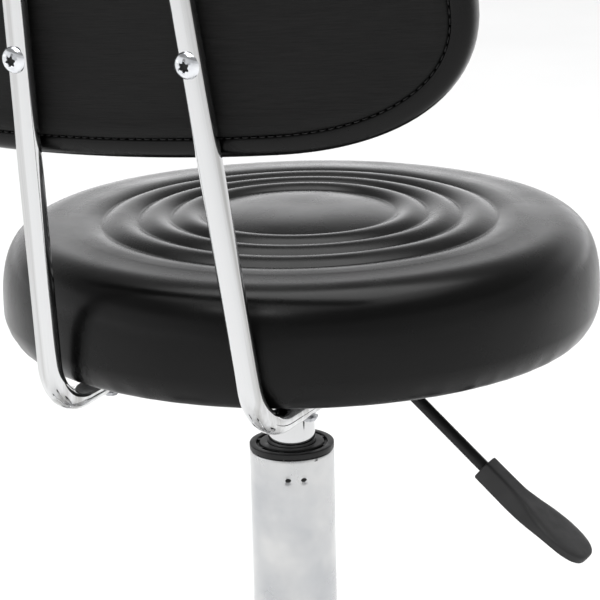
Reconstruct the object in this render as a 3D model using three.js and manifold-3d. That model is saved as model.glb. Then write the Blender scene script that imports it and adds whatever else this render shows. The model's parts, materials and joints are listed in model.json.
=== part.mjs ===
// Rolling stylist stool: padded round seat, low backrest on two bent tubes, gas lift and five-star base.
// Units are millimetres. The origin is on the floor, on the column's axis. +Z is up and the sitter faces -Y.
import * as THREE from 'three';
import { mergeVertices } from 'three/addons/utils/BufferGeometryUtils.js';
import Module from 'manifold-3d';

const wasm = await Module();
wasm.setup();

// Clearance left between pieces that touch in the real stool.
const GAP = 0.3;

// Seat: SEAT_Z is the height of the plane through the cushion's outermost ring groove.
const SEAT_Z = 470;
const SEAT_Y = -16.4;
const SEAT_R = 173.5;
const SEAT_SIDES = 40;
const SEAT_WIDEST_Z = -47.6;
const SEAT_BOTTOM_Z = -63.4;
const SHOULDER_WIDTH = 34;
const SHOULDER_POWER = 3.06;
const UNDERCUT_WIDTH = 8.7;
const UNDERCUT_POWER = 1.54;
const SHOULDER_R = 127;
const DOME_R = 56;
const DOME_HEIGHT = 6;
const CROWN_HEIGHT = 1.2;
const COVER_THICKNESS = 1.1;
const COVER_OPENING_R = 138;
const BOARD_R = 160;
const BOARD_TOP_Z = -52;
const BOARD_BOTTOM_Z = -62;
const DUST_R = 157;
const DUST_TOP_Z = SEAT_BOTTOM_Z - GAP;
const DUST_THICKNESS = 0.8;

// Mechanism plate: a pressed pan with a flange above and a taper socket below.
const PLATE_TOP_Z = DUST_TOP_Z - DUST_THICKNESS - GAP;
const PLATE_THICKNESS = 2.5;
const PLATE_WIDTH = 104;
const PLATE_LENGTH = 170;
const PAN_R = 36;
const PAN_DEPTH = 24.5;
const SOCKET_R = 19;
const SOCKET_BOTTOM_Z = -105;
const BOLT_X = 41;
const BOLT_Y = 70;

// Back tubes: a run under the seat, one bend, and an upright that leans back and closes in.
// The back frame stands 2 degrees out of level about the Y axis, so its left bend hangs lower than its right one.
const TUBE_R = 6.5;
const TUBE_WALL = 1.5;
const TUBE_RUN_Z = PLATE_TOP_Z - TUBE_R;
const TUBE_RUN_START_Y = 39;
const TUBE_CORNER_Z = -74.2;
const TUBE_BEND_R = 30;
const TUBE_SPACING_X = 60.9;
const TUBE_REAR_Y = 157.7;
const TUBE_REF_Z = -46;
const TUBE_TOP_Z = 226;
const LEAN = THREE.MathUtils.degToRad(6.1);
const SPLAY = THREE.MathUtils.degToRad(3.45);
const FRAME_ROLL = THREE.MathUtils.degToRad(1.97);
const SEAT_SCREW_YS = [55, 98];

// Backrest: a curved board with foam, a wrapped front cover and a rear panel.
const BACK_BASE_Z = 68.3;
const BACK_HALF_WIDTH = 190;
const BACK_HEIGHT = 238;
const BACK_CURVE_R = 789;
const BACK_REAR_Y = -5.3;
const BACK_SCREW_VS = [56.8, 122];
const PANEL_ROLL = THREE.MathUtils.degToRad(1.47);
const BACK_POINTS = 32;

// Gas lift and column.
const COLUMN_R = 25;
const COLUMN_WALL = 1.5;
const COLUMN_TOP_Z = 332.6;
const COLUMN_BOTTOM_Z = 58;
const HUB_TOP_Z = 112;
const HUB_BOTTOM_Z = 56;
const COLLAR_TOP_Z = 336.3;
const BUSH_BOTTOM_Z = 250;
const CYLINDER_R = 14;
const CYLINDER_TIP_R = 13;
const CYLINDER_BORE_R = 12.4;
const CYLINDER_TOP_Z = -82.5;
const CYLINDER_TAPER_Z = -132;
const CYLINDER_BOTTOM_Z = -392;
const ROD_R = 5;
const PIN_R = 3.5;

// Lever: the rod leaves the pan on the sitter's right and slopes down to a flat grip.
const LEVER_R = 3.5;
const LEVER_Z = -72.8;
const LEVER_BEND_X = -53.9;
const LEVER_SLOPE = THREE.MathUtils.degToRad(40.1);
const LEVER_SLOPE_LENGTH = 116;
const GRIP_START = 91;
const GRIP_LENGTH = 77;
const GRIP_NECK = 6.3;
const GRIP_HALF_WIDTH = 15;

// Base and casters.
const LEG_COUNT = 5;
const LEG_REACH = 232;
const BOSS_R = 15;
const BOSS_BOTTOM_Z = 60.2;
const WHEEL_R = 25;
const WHEEL_SIDES = 16;
const WHEEL_INNER_X = 5.2;
const WHEEL_OUTER_X = 22.2;
const AXLE_Z = WHEEL_R * Math.cos(Math.PI / WHEEL_SIDES);
const AXLE_R = 3;
const TRAIL = 24;
const STEM_R = 5.5;
const HOUSING_TOP_Z = 57.6;

function material(color, roughness, metalness) {
  return new THREE.MeshStandardMaterial({ color, roughness, metalness });
}

const LOOKS = {
  chrome: () => material(0xd9dbde, 0.12, 1.0),
  satinChrome: () => material(0xc6c9ce, 0.28, 1.0),
  steel: () => material(0x9ea1a5, 0.4, 1.0),
  blackSteel: () => material(0x18181a, 0.55, 0.4),
  seatVinyl: () => material(0x0b0b0c, 0.32, 0.0),
  backFabric: () => material(0x17171a, 0.8, 0.0),
  felt: () => material(0x101012, 0.95, 0.0),
  foam: () => material(0xd8cfa8, 0.95, 0.0),
  plywood: () => material(0xb98d5a, 0.7, 0.0),
  blackPlastic: () => material(0x131315, 0.5, 0.0),
  greyPlastic: () => material(0x2e2f32, 0.55, 0.0),
};

// Returns the geometry as one closed body: shared corners, no slivers, faces pointing out.
function closed(geometry) {
  const bare = new THREE.BufferGeometry();
  bare.setAttribute('position', geometry.getAttribute('position').clone());
  if (geometry.index) {
    bare.setIndex(geometry.index.clone());
  }
  const merged = mergeVertices(bare, 1e-3);
  const position = merged.getAttribute('position');
  const kept = [];
  for (let i = 0; i < merged.index.count; i += 3) {
    const [a, b, c] = [0, 1, 2].map((k) => merged.index.getX(i + k));
    if (a !== b && b !== c && c !== a) {
      kept.push([a, b, c]);
    }
  }
  const corner = (i) => new THREE.Vector3().fromBufferAttribute(position, i);
  const volume = kept.reduce((sum, t) => sum + corner(t[0]).dot(corner(t[1]).cross(corner(t[2]))), 0);
  const facing = volume > 0 ? kept : kept.map(([a, b, c]) => [a, c, b]);
  merged.setIndex(facing.flat());
  return merged;
}

function toSolid(geometry) {
  const ready = closed(geometry);
  return new wasm.Manifold(new wasm.Mesh({
    numProp: 3,
    vertProperties: new Float32Array(ready.getAttribute('position').array),
    triVerts: new Uint32Array(ready.index.array),
  }));
}

function fromSolid(solid) {
  const mesh = solid.getMesh();
  const geometry = new THREE.BufferGeometry();
  geometry.setAttribute('position', new THREE.BufferAttribute(mesh.vertProperties.slice(), 3));
  geometry.setIndex([...mesh.triVerts]);
  return geometry;
}

function join(...geometries) {
  return fromSolid(geometries.map(toSolid).reduce((sum, next) => sum.add(next)));
}

function cut(geometry, ...tools) {
  return fromSolid(tools.map(toSolid).reduce((rest, tool) => rest.subtract(tool), toSolid(geometry)));
}

// Turns a profile of [radius, height] points about +Z.
function turned(profile, segments = 32, startAngle = 0) {
  const points = profile.map(([r, z]) => new THREE.Vector2(r, z));
  return closed(new THREE.LatheGeometry(points, segments, startAngle).rotateX(Math.PI / 2));
}

// The same, for a profile that closes on itself away from the axis.
function turnedRing(profile, segments = 32, startAngle = 0) {
  return turned([...profile, profile[0]], segments, startAngle);
}

function rod(radius, z0, z1, segments = 16) {
  return closed(new THREE.CylinderGeometry(radius, radius, z1 - z0, segments)
    .rotateX(Math.PI / 2).translate(0, 0, (z0 + z1) / 2));
}

function block(x0, x1, y0, y1, z0, z1) {
  return new THREE.BoxGeometry(x1 - x0, y1 - y0, z1 - z0)
    .translate((x0 + x1) / 2, (y0 + y1) / 2, (z0 + z1) / 2);
}

// Extrudes a polygon drawn in the YZ plane along X, centred on x = 0.
function slab(points, width) {
  const shape = new THREE.Shape(points.map(([y, z]) => new THREE.Vector2(y, z)));
  const geometry = new THREE.ExtrudeGeometry(shape, { depth: width, bevelEnabled: false });
  geometry.translate(0, 0, -width / 2);
  const axes = new THREE.Matrix4().makeBasis(
    new THREE.Vector3(0, 1, 0),
    new THREE.Vector3(0, 0, 1),
    new THREE.Vector3(1, 0, 0),
  );
  return closed(geometry.applyMatrix4(axes));
}

function arc(centreY, centreZ, radius, fromDeg, toDeg, steps) {
  return Array.from({ length: steps + 1 }, (_, i) => {
    const angle = THREE.MathUtils.degToRad(fromDeg + (toDeg - fromDeg) * (i / steps));
    return [centreY + radius * Math.cos(angle), centreZ + radius * Math.sin(angle)];
  });
}

// A bent rod or tube bore swept along its centre points, one ring of corners at each point.
function swept(points, radius, segments = 10) {
  const path = new THREE.CatmullRomCurve3(points);
  path.getUtoTmapping = (u) => u;
  const ring = Array.from({ length: segments }, (_, i) => {
    const angle = (2 * Math.PI * i) / segments;
    return new THREE.Vector2(radius * Math.cos(angle), radius * Math.sin(angle));
  });
  const options = { steps: points.length - 1, extrudePath: path, bevelEnabled: false };
  return closed(new THREE.ExtrudeGeometry(new THREE.Shape(ring), options));
}

// Centre points of a path through three corners, with the middle corner rounded.
function roundedCorner(start, corner, end, radius, steps) {
  const toStart = start.clone().sub(corner).normalize();
  const toEnd = end.clone().sub(corner).normalize();
  const half = toStart.angleTo(toEnd) / 2;
  const tangent = radius / Math.tan(half);
  const centre = toStart.clone().add(toEnd).normalize().multiplyScalar(radius / Math.sin(half)).add(corner);
  const first = corner.clone().addScaledVector(toStart, tangent).sub(centre);
  const last = corner.clone().addScaledVector(toEnd, tangent).sub(centre);
  const axis = first.clone().cross(last).normalize();
  const turn = first.angleTo(last);
  const bend = Array.from({ length: steps + 1 }, (_, i) => (
    first.clone().applyAxisAngle(axis, turn * (i / steps)).add(centre)
  ));
  return [start.clone(), ...bend, end.clone()];
}

function place(group, name, geometry, look) {
  const mesh = new THREE.Mesh(closed(geometry), LOOKS[look]());
  mesh.name = name;
  group.add(mesh);
  return mesh;
}

// A button-head screw along +Z: the head's seat is at z = 0 and the shank runs to z = length.
function screw(headR, headHeight, shankR, length) {
  return turned([
    [0, -headHeight],
    [headR * 0.7, -headHeight * 0.8],
    [headR, 0],
    [shankR, 0],
    [shankR, length],
    [0, length],
  ], 8);
}

// ---- Seat ----------------------------------------------------------------------------------------

// The cushion's outer surface from the centre out and round to the underside, [radius, height].
function seatOuterProfile() {
  const dome = [[0, DOME_HEIGHT], [DOME_R * 0.6, DOME_HEIGHT - 1.2], [DOME_R, CROWN_HEIGHT + 1.8]];
  const top = [[(DOME_R + SHOULDER_R) / 2, CROWN_HEIGHT + 1], [SHOULDER_R, CROWN_HEIGHT]];
  const roll = [8, 26, 46, 68, 90].map((deg) => {
    const t = THREE.MathUtils.degToRad(90 - deg);
    return [
      SEAT_R - SHOULDER_WIDTH * (1 - Math.cos(t) ** (2 / SHOULDER_POWER)),
      SEAT_WIDEST_Z - SEAT_WIDEST_Z * Math.max(Math.sin(t), 0) ** (2 / SHOULDER_POWER),
    ];
  });
  const under = [45, 90].map((deg) => {
    const t = THREE.MathUtils.degToRad(deg);
    return [
      SEAT_R - UNDERCUT_WIDTH * (1 - Math.max(Math.cos(t), 0) ** (2 / UNDERCUT_POWER)),
      SEAT_WIDEST_Z + (SEAT_BOTTOM_Z - SEAT_WIDEST_Z) * Math.sin(t) ** (2 / UNDERCUT_POWER),
    ];
  });
  return [...dome, ...top, ...roll, ...under];
}

// The profile moved inwards, square to itself.
function insetProfile(profile, distance) {
  return profile.map(([r, z], i) => {
    const [ra, za] = profile[Math.max(i - 1, 0)];
    const [rb, zb] = profile[Math.min(i + 1, profile.length - 1)];
    const length = Math.hypot(rb - ra, zb - za);
    return [Math.max(r + ((zb - za) / length) * distance, 0), z - ((rb - ra) / length) * distance];
  });
}

function seatCover() {
  const outer = seatOuterProfile();
  const top = outer.slice(0, -1);
  const inner = insetProfile(top, COVER_THICKNESS);
  inner[0] = [0, outer[0][1] - COVER_THICKNESS];
  const rim = [
    outer[outer.length - 1],
    [COVER_OPENING_R, SEAT_BOTTOM_Z],
    [COVER_OPENING_R, SEAT_BOTTOM_Z + COVER_THICKNESS],
    [SEAT_R - UNDERCUT_WIDTH - 0.8, SEAT_BOTTOM_Z + COVER_THICKNESS],
  ];
  return turned([...top, ...rim, ...inner.reverse()], SEAT_SIDES);
}

function seatFoam() {
  const top = insetProfile(seatOuterProfile().slice(0, -2), COVER_THICKNESS + GAP);
  top[0] = [0, seatOuterProfile()[0][1] - COVER_THICKNESS - GAP];
  const lip = BOARD_R + 0.5;
  return turned([
    ...top,
    [lip + 3.5, BOARD_BOTTOM_Z + 1.2],
    [lip, BOARD_BOTTOM_Z + 1.2],
    [lip, BOARD_TOP_Z + GAP],
    [0, BOARD_TOP_Z + GAP],
  ], SEAT_SIDES);
}

const boltPlaces = [[-1, -1], [1, -1], [1, 1], [-1, 1]].map(([x, y]) => [x * BOLT_X, y * BOLT_Y]);
const seatScrewPlaces = [-1, 1].flatMap((side) => SEAT_SCREW_YS.map((y) => [uprightPoint(side, TUBE_CORNER_Z).x, y]));

function seatBoard() {
  const disc = turned([
    [0, BOARD_BOTTOM_Z],
    [BOARD_R - 1, BOARD_BOTTOM_Z],
    [BOARD_R, BOARD_BOTTOM_Z + 1],
    [BOARD_R, BOARD_TOP_Z],
    [0, BOARD_TOP_Z],
  ], SEAT_SIDES).translate(0, SEAT_Y, 0);
  const holes = [...boltPlaces, ...seatScrewPlaces].map(([x, y]) => (
    rod(3.3, BOARD_BOTTOM_Z - 5, BOARD_TOP_Z - 1, 8).translate(x, y, 0)
  ));
  return cut(disc, ...holes);
}

function dustCover() {
  const sheet = turned([
    [0, DUST_TOP_Z - DUST_THICKNESS],
    [DUST_R, DUST_TOP_Z - DUST_THICKNESS],
    [DUST_R, DUST_TOP_Z],
    [0, DUST_TOP_Z],
  ], SEAT_SIDES).translate(0, SEAT_Y, 0);
  const holes = [...boltPlaces, ...seatScrewPlaces].map(([x, y]) => (
    rod(3.4, DUST_TOP_Z - 5, DUST_TOP_Z + 5, 8).translate(x, y, 0)
  ));
  return cut(sheet, ...holes);
}

// ---- Mechanism and gas lift ----------------------------------------------------------------------

function cylinderRadius(z) {
  const t = (CYLINDER_TOP_Z - z) / (CYLINDER_TOP_Z - CYLINDER_TAPER_Z);
  return CYLINDER_TIP_R + (CYLINDER_R - CYLINDER_TIP_R) * t;
}

function mountPlate() {
  const bottom = PLATE_TOP_Z - PLATE_THICKNESS;
  const floorZ = PLATE_TOP_Z - PAN_DEPTH;
  const flange = block(-PLATE_WIDTH / 2, PLATE_WIDTH / 2, -PLATE_LENGTH / 2, PLATE_LENGTH / 2, bottom, PLATE_TOP_Z);
  const lips = [-1, 1].map((side) => {
    const x = side * (PLATE_WIDTH / 2 - PLATE_THICKNESS / 2);
    const half = PLATE_THICKNESS / 2;
    return block(x - half, x + half, -PLATE_LENGTH / 2, 25 - PLATE_LENGTH / 2, bottom - 7, PLATE_TOP_Z - 1);
  });
  const pan = turned([
    [0, floorZ],
    [PAN_R - 2, floorZ],
    [PAN_R, floorZ + 2],
    [PAN_R, PLATE_TOP_Z - 0.5],
    [0, PLATE_TOP_Z - 0.5],
  ], 28);
  const socket = rod(SOCKET_R, SOCKET_BOTTOM_Z, floorZ + 1, 28);
  const hollow = rod(PAN_R - PLATE_THICKNESS, floorZ + PLATE_THICKNESS, PLATE_TOP_Z + 5, 28);
  const taper = turned([
    [0, SOCKET_BOTTOM_Z - 2],
    [cylinderRadius(SOCKET_BOTTOM_Z - 2) + GAP, SOCKET_BOTTOM_Z - 2],
    [cylinderRadius(floorZ + 6) + GAP, floorZ + 6],
    [0, floorZ + 6],
  ], 24);
  const slot = block(-PAN_R - 4, -PAN_R + 6, -4.3, 4.3, LEVER_Z - LEVER_R - 1, LEVER_Z + LEVER_R + 1);
  const holes = boltPlaces.map(([x, y]) => rod(3.3, bottom - 5, PLATE_TOP_Z + 5, 8).translate(x, y, 0));
  return cut(join(flange, ...lips, pan, socket), hollow, taper, slot, ...holes);
}

function gasCylinder() {
  return turnedRing([
    [CYLINDER_BORE_R, CYLINDER_BOTTOM_Z],
    [CYLINDER_R, CYLINDER_BOTTOM_Z],
    [CYLINDER_R, CYLINDER_TAPER_Z],
    [CYLINDER_TIP_R, CYLINDER_TOP_Z],
    [PIN_R + GAP, CYLINDER_TOP_Z],
    [PIN_R + GAP, CYLINDER_TOP_Z - 17],
    [CYLINDER_BORE_R, CYLINDER_TOP_Z - 17],
  ], 24);
}

function rodGuide() {
  const bottom = CYLINDER_BOTTOM_Z + GAP;
  return turnedRing([
    [ROD_R + GAP, bottom],
    [CYLINDER_BORE_R - GAP, bottom],
    [CYLINDER_BORE_R - GAP, bottom + 19],
    [ROD_R + GAP, bottom + 19],
  ], 16);
}

function pistonRod() {
  return turned([
    [0, 48],
    [ROD_R - 1, 48],
    [ROD_R, 49],
    [ROD_R, 69.3],
    [9.5, 69.3],
    [9.5, 72.3],
    [ROD_R, 72.3],
    [ROD_R, 246],
    [CYLINDER_BORE_R - 0.9, 246],
    [CYLINDER_BORE_R - 0.9, 256],
    [0, 256],
  ], 16);
}

function retainingClip() {
  return turnedRing([[ROD_R + GAP, 55], [9, 55], [9, 57.6], [ROD_R + GAP, 57.6]], 16);
}

function thrustBearing() {
  return turnedRing([
    [ROD_R + 0.6, 60.8],
    [15, 60.8],
    [15, 62.4],
    [13.5, 63.4],
    [13.5, 66.6],
    [15, 67.4],
    [15, 69],
    [ROD_R + 0.6, 69],
  ], 16);
}

function columnTube() {
  const inner = COLUMN_R - COLUMN_WALL;
  const foot = COLUMN_R - 1.1;
  return turnedRing([
    [ROD_R + 1, COLUMN_BOTTOM_Z],
    [foot, COLUMN_BOTTOM_Z],
    [COLUMN_R, HUB_TOP_Z - 2],
    [COLUMN_R, COLUMN_TOP_Z],
    [inner, COLUMN_TOP_Z],
    [inner, HUB_TOP_Z - 2],
    [foot - COLUMN_WALL, COLUMN_BOTTOM_Z + 2.5],
    [ROD_R + 1, COLUMN_BOTTOM_Z + 2.5],
  ], 32);
}

// The plastic guide sleeve, with the collar that caps the column.
function columnBush() {
  const sleeve = COLUMN_R - COLUMN_WALL - GAP;
  const bore = CYLINDER_R + GAP;
  return turnedRing([
    [bore, BUSH_BOTTOM_Z],
    [sleeve, BUSH_BOTTOM_Z],
    [sleeve, COLUMN_TOP_Z + GAP],
    [COLUMN_R, COLUMN_TOP_Z + GAP],
    [COLUMN_R, COLLAR_TOP_Z],
    [21.2, COLLAR_TOP_Z],
    [21.2, COLLAR_TOP_Z - 1.2],
    [19.2, COLLAR_TOP_Z - 1.2],
    [19.2, COLLAR_TOP_Z],
    [bore, COLLAR_TOP_Z],
  ], 32);
}

// ---- Lever ---------------------------------------------------------------------------------------

const leverCorner = new THREE.Vector3(LEVER_BEND_X, 0, LEVER_Z);
const leverDown = new THREE.Vector3(-Math.cos(LEVER_SLOPE), 0, -Math.sin(LEVER_SLOPE));

function leverRod() {
  const start = new THREE.Vector3(4, 0, LEVER_Z);
  const end = leverCorner.clone().addScaledVector(leverDown, LEVER_SLOPE_LENGTH);
  return swept(roundedCorner(start, leverCorner, end, 12, 3), LEVER_R);
}

// Joins rounded rectangles, each [x, half width, half thickness, height of its middle], into one body.
function lofted(sections, corners = 12) {
  const vertices = sections.flatMap(([x, halfWidth, halfThickness, lift]) => (
    Array.from({ length: corners }, (_, i) => {
      const angle = (2 * Math.PI * (i + 0.5)) / corners;
      const soft = (value) => Math.sign(value) * Math.abs(value) ** 0.55;
      return [x, halfWidth * soft(Math.cos(angle)), lift + halfThickness * soft(Math.sin(angle))];
    }).flat()
  ));
  const index = [];
  for (let k = 0; k < sections.length - 1; k += 1) {
    for (let i = 0; i < corners; i += 1) {
      const a = k * corners + i;
      const b = k * corners + ((i + 1) % corners);
      index.push(a, b, b + corners, a, b + corners, a + corners);
    }
  }
  const last = (sections.length - 1) * corners;
  for (let i = 1; i < corners - 1; i += 1) {
    index.push(0, i + 1, i, last, last + i, last + i + 1);
  }
  const geometry = new THREE.BufferGeometry();
  geometry.setAttribute('position', new THREE.Float32BufferAttribute(vertices, 3));
  geometry.setIndex(index);
  return closed(geometry);
}

// Drawn with its length along +X, then turned to lie along the sloping part of the rod.
function leverGrip() {
  const body = lofted([
    [0, GRIP_NECK - 0.8, GRIP_NECK - 0.8, 0],
    [0.8, GRIP_NECK, GRIP_NECK, 0],
    [26, GRIP_NECK + 0.3, GRIP_NECK, 0.1],
    [38, 10.5, 5.5, 1.6],
    [48, 14, 4, 3.4],
    [GRIP_LENGTH - 19, GRIP_HALF_WIDTH, 3.4, 4.6],
    [GRIP_LENGTH - 9, GRIP_HALF_WIDTH - 1.8, 3.3, 5.3],
    [GRIP_LENGTH - 3, GRIP_HALF_WIDTH - 5.8, 3, 5.7],
    [GRIP_LENGTH, 4.5, 1.8, 5.8],
  ]);
  const bore = new THREE.CylinderGeometry(LEVER_R + GAP, LEVER_R + GAP, 2 * (LEVER_SLOPE_LENGTH - GRIP_START + 2), 10)
    .rotateZ(Math.PI / 2);
  const across = new THREE.Vector3(0, -1, 0);
  const up = leverDown.clone().cross(across);
  const origin = leverCorner.clone().addScaledVector(leverDown, GRIP_START);
  return cut(body, bore).applyMatrix4(new THREE.Matrix4().makeBasis(leverDown, across, up).setPosition(origin));
}

// ---- Back tubes ----------------------------------------------------------------------------------

// Half the distance between the uprights' centre lines at a height in the back frame.
function uprightSpread(z) {
  return TUBE_SPACING_X - (z - TUBE_REF_Z) * Math.tan(SPLAY);
}

// A point of the back frame, x across its middle plane and z its height before the frame is rolled.
function framePoint(x, z) {
  const rise = z - TUBE_REF_Z;
  return new THREE.Vector3(
    x * Math.cos(FRAME_ROLL) + rise * Math.sin(FRAME_ROLL),
    TUBE_REAR_Y + rise * Math.tan(LEAN),
    TUBE_REF_Z - x * Math.sin(FRAME_ROLL) + rise * Math.cos(FRAME_ROLL),
  );
}

// The upright's centre line, for the tube on the given side (+1 or -1).
function uprightPoint(side, z) {
  return framePoint(side * uprightSpread(z), z);
}

// The centre line of the run under the seat, which drops a little from its front end to the bend.
function runPoint(side, y) {
  const corner = uprightPoint(side, TUBE_CORNER_Z);
  const share = (y - TUBE_RUN_START_Y) / (corner.y - TUBE_RUN_START_Y);
  return new THREE.Vector3(corner.x, y, TUBE_RUN_Z + (corner.z - TUBE_RUN_Z) * share);
}

function backTube(side) {
  const corner = uprightPoint(side, TUBE_CORNER_Z);
  const start = runPoint(side, TUBE_RUN_START_Y);
  const end = uprightPoint(side, TUBE_TOP_Z);
  const outerPath = roundedCorner(start, corner, end, TUBE_BEND_R, 7);
  const up = end.clone().sub(corner).normalize();
  const innerPath = outerPath.map((p) => p.clone());
  innerPath[0].copy(runPoint(side, TUBE_RUN_START_Y - 5));
  innerPath[innerPath.length - 1].addScaledVector(up, -2);
  const cap = new THREE.SphereGeometry(TUBE_R - 0.05, 10, 6).scale(1, 1, 0.6).translate(...end.toArray());
  const upright = join(swept(outerPath, TUBE_R), cap);
  const rear = new THREE.Vector3(-Math.sin(LEAN) * Math.sin(FRAME_ROLL), Math.cos(LEAN), -Math.sin(LEAN) * Math.cos(FRAME_ROLL));
  const turn = new THREE.Quaternion().setFromUnitVectors(new THREE.Vector3(0, 0, 1), rear);
  const backHoles = BACK_SCREW_VS.map((v) => {
    const at = uprightPoint(side, BACK_BASE_Z + v * Math.cos(LEAN));
    return rod(3.2, -20, 20, 6).applyQuaternion(turn).translate(...at.toArray());
  });
  const seatHoles = SEAT_SCREW_YS.map((y) => rod(3.7, -20, 20, 6).translate(corner.x, y, TUBE_RUN_Z));
  return cut(upright, swept(innerPath, TUBE_R - TUBE_WALL), ...backHoles, ...seatHoles);
}

// ---- Backrest ------------------------------------------------------------------------------------
// The backrest is drawn as a flat outline (across, up) with a depth w in front of its rear face,
// and bent about an upright axis in front of it, so that its ends come forward round the sitter.

function backOutline() {
  const w = BACK_HALF_WIDTH;
  const h = BACK_HEIGHT;
  const shape = new THREE.Shape();
  shape.moveTo(0, 0);
  shape.quadraticCurveTo(w * 0.215, 0, w * 0.43, 1.5);
  shape.bezierCurveTo(w * 0.818, 4.3, w, 33.5, w, 70.6);
  shape.lineTo(w, h - 70.6);
  shape.bezierCurveTo(w, h - 33.5, w * 0.818, h - 4.3, w * 0.43, h - 1.5);
  shape.quadraticCurveTo(w * 0.215, h, 0, h);
  shape.quadraticCurveTo(-w * 0.215, h, -w * 0.43, h - 1.5);
  shape.bezierCurveTo(-w * 0.818, h - 4.3, -w, h - 33.5, -w, h - 70.6);
  shape.lineTo(-w, 70.6);
  shape.bezierCurveTo(-w, 33.5, -w * 0.818, 4.3, -w * 0.43, 1.5);
  shape.quadraticCurveTo(-w * 0.215, 0, 0, 0);
  return shape.getSpacedPoints(BACK_POINTS).slice(0, BACK_POINTS);
}

function insetOutline(points, distance) {
  return points.map((p, i) => {
    const before = points[(i + points.length - 1) % points.length];
    const after = points[(i + 1) % points.length];
    const along = after.clone().sub(before).normalize();
    return new THREE.Vector2(p.x - along.y * distance, p.y + along.x * distance);
  });
}

function bent(u, v, w) {
  const angle = u / BACK_CURVE_R;
  const radius = BACK_CURVE_R - w;
  return [radius * Math.sin(angle), BACK_REAR_Y - BACK_CURVE_R + radius * Math.cos(angle), v];
}

// Sweeps a section round the backrest's outline. Each section entry is [inset, w, scale]: the outline is
// moved in by inset, then shrunk about its middle by scale. A scale of 0 is a single point.
function outlineSolid(section, closesOnItself) {
  const outline = backOutline();
  const middle = new THREE.Vector2(0, BACK_HEIGHT / 2);
  const vertices = [];
  const rings = section.map(([inset, w, scale = 1]) => {
    const first = vertices.length / 3;
    if (scale === 0) {
      vertices.push(...bent(middle.x, middle.y, w));
      return Array(BACK_POINTS).fill(first);
    }
    insetOutline(outline, inset).forEach((p) => {
      const q = p.clone().sub(middle).multiplyScalar(scale).add(middle);
      vertices.push(...bent(q.x, q.y, w));
    });
    return Array.from({ length: BACK_POINTS }, (_, i) => first + i);
  });
  const index = [];
  const last = closesOnItself ? rings.length : rings.length - 1;
  for (let k = 0; k < last; k += 1) {
    const a = rings[k];
    const b = rings[(k + 1) % rings.length];
    for (let i = 0; i < BACK_POINTS; i += 1) {
      const j = (i + 1) % BACK_POINTS;
      index.push(a[i], a[j], b[j], a[i], b[j], b[i]);
    }
  }
  const geometry = new THREE.BufferGeometry();
  geometry.setAttribute('position', new THREE.Float32BufferAttribute(vertices, 3));
  geometry.setIndex(index);
  return closed(geometry);
}

function backCover() {
  return outlineSolid([
    [9, 0],
    [3, 2],
    [0, 9],
    [0.8, 22],
    [6, 33],
    [19, 39.5],
    [19, 42.3, 0.7],
    [19, 43, 0.35],
    [19, 43.2, 0],
    [19, 42, 0],
    [19, 41.8, 0.35],
    [19, 41.1, 0.7],
    [19, 38.3],
    [6.9, 32],
    [2, 21.8],
    [1.2, 9.2],
    [3.9, 3.1],
    [9, 1.2],
  ], true);
}

function backFoam() {
  return outlineSolid([
    [19, 41.5, 0],
    [19, 41.3, 0.35],
    [19, 40.6, 0.7],
    [19, 37.8],
    [7.4, 31.6],
    [2.6, 21.6],
    [3, 12.3],
    [6.5, 12.3],
    [19, 12.3],
    [19, 12.3, 0.7],
    [19, 12.3, 0.35],
    [19, 12.3, 0],
  ], false);
}

const backScrewPlaces = [-1, 1].flatMap((side) => (
  BACK_SCREW_VS.map((v) => [side * uprightSpread(BACK_BASE_Z + v * Math.cos(LEAN)), v])
));

// The screw holes as the backrest sees them: it is turned by a small angle about its middle on the uprights.
function backHoles(radius, depth) {
  return backScrewPlaces.map(([x, v]) => {
    const rise = v - BACK_HEIGHT / 2;
    const across = x * Math.cos(PANEL_ROLL) - rise * Math.sin(PANEL_ROLL);
    const up = x * Math.sin(PANEL_ROLL) + rise * Math.cos(PANEL_ROLL) + BACK_HEIGHT / 2;
    return rod(radius, 0, 20 + depth, 6).rotateX(Math.PI / 2).translate(across, 20 + BACK_REAR_Y, up);
  });
}

function backBoard() {
  const board = outlineSolid([
    [19, 4, 0],
    [19, 4, 0.35],
    [19, 4, 0.7],
    [19, 4],
    [9.5, 4],
    [6.5, 4],
    [6.5, 12],
    [19, 12],
    [19, 12, 0.7],
    [19, 12, 0.35],
    [19, 12, 0],
  ], false);
  return cut(board, ...backHoles(3.2, 11.5));
}

function backRearPanel() {
  const panel = outlineSolid([
    [19, 3.6, 0],
    [19, 3.6, 0.35],
    [19, 3.6, 0.7],
    [19, 3.6],
    [9.5, 3.6],
    [9.5, 0.8],
    [11, -0.4],
    [19, 0],
    [19, 0, 0.7],
    [19, 0, 0.35],
    [19, 0, 0],
  ], false);
  return cut(panel, ...backHoles(3.2, 8));
}

// ---- Base ----------------------------------------------------------------------------------------

// A leg along +Y: a pressed section that tapers outwards and is open underneath.
function legSolid(inset) {
  const top = [[20, 107], [50, 105.5], [110, 99], [170, 91.5], [LEG_REACH, 82]];
  const low = [[LEG_REACH, 61.5], [120, 68], [20, 66]];
  const trimmed = inset > 0
    ? [...top.slice(1, 4).map(([y, z]) => [y, z - inset]), [214, 85.5 - inset], [214, 40], [50, 40]]
    : [...top, ...low];
  const geometry = slab(trimmed, 1);
  const position = geometry.getAttribute('position');
  for (let i = 0; i < position.count; i += 1) {
    const along = position.getY(i) / LEG_REACH;
    const widthHere = THREE.MathUtils.lerp(38, 26, along);
    const drop = inset > 0 ? inset : 0;
    position.setX(i, Math.sign(position.getX(i)) * (widthHere / 2 - drop));
  }
  return geometry;
}

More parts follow.
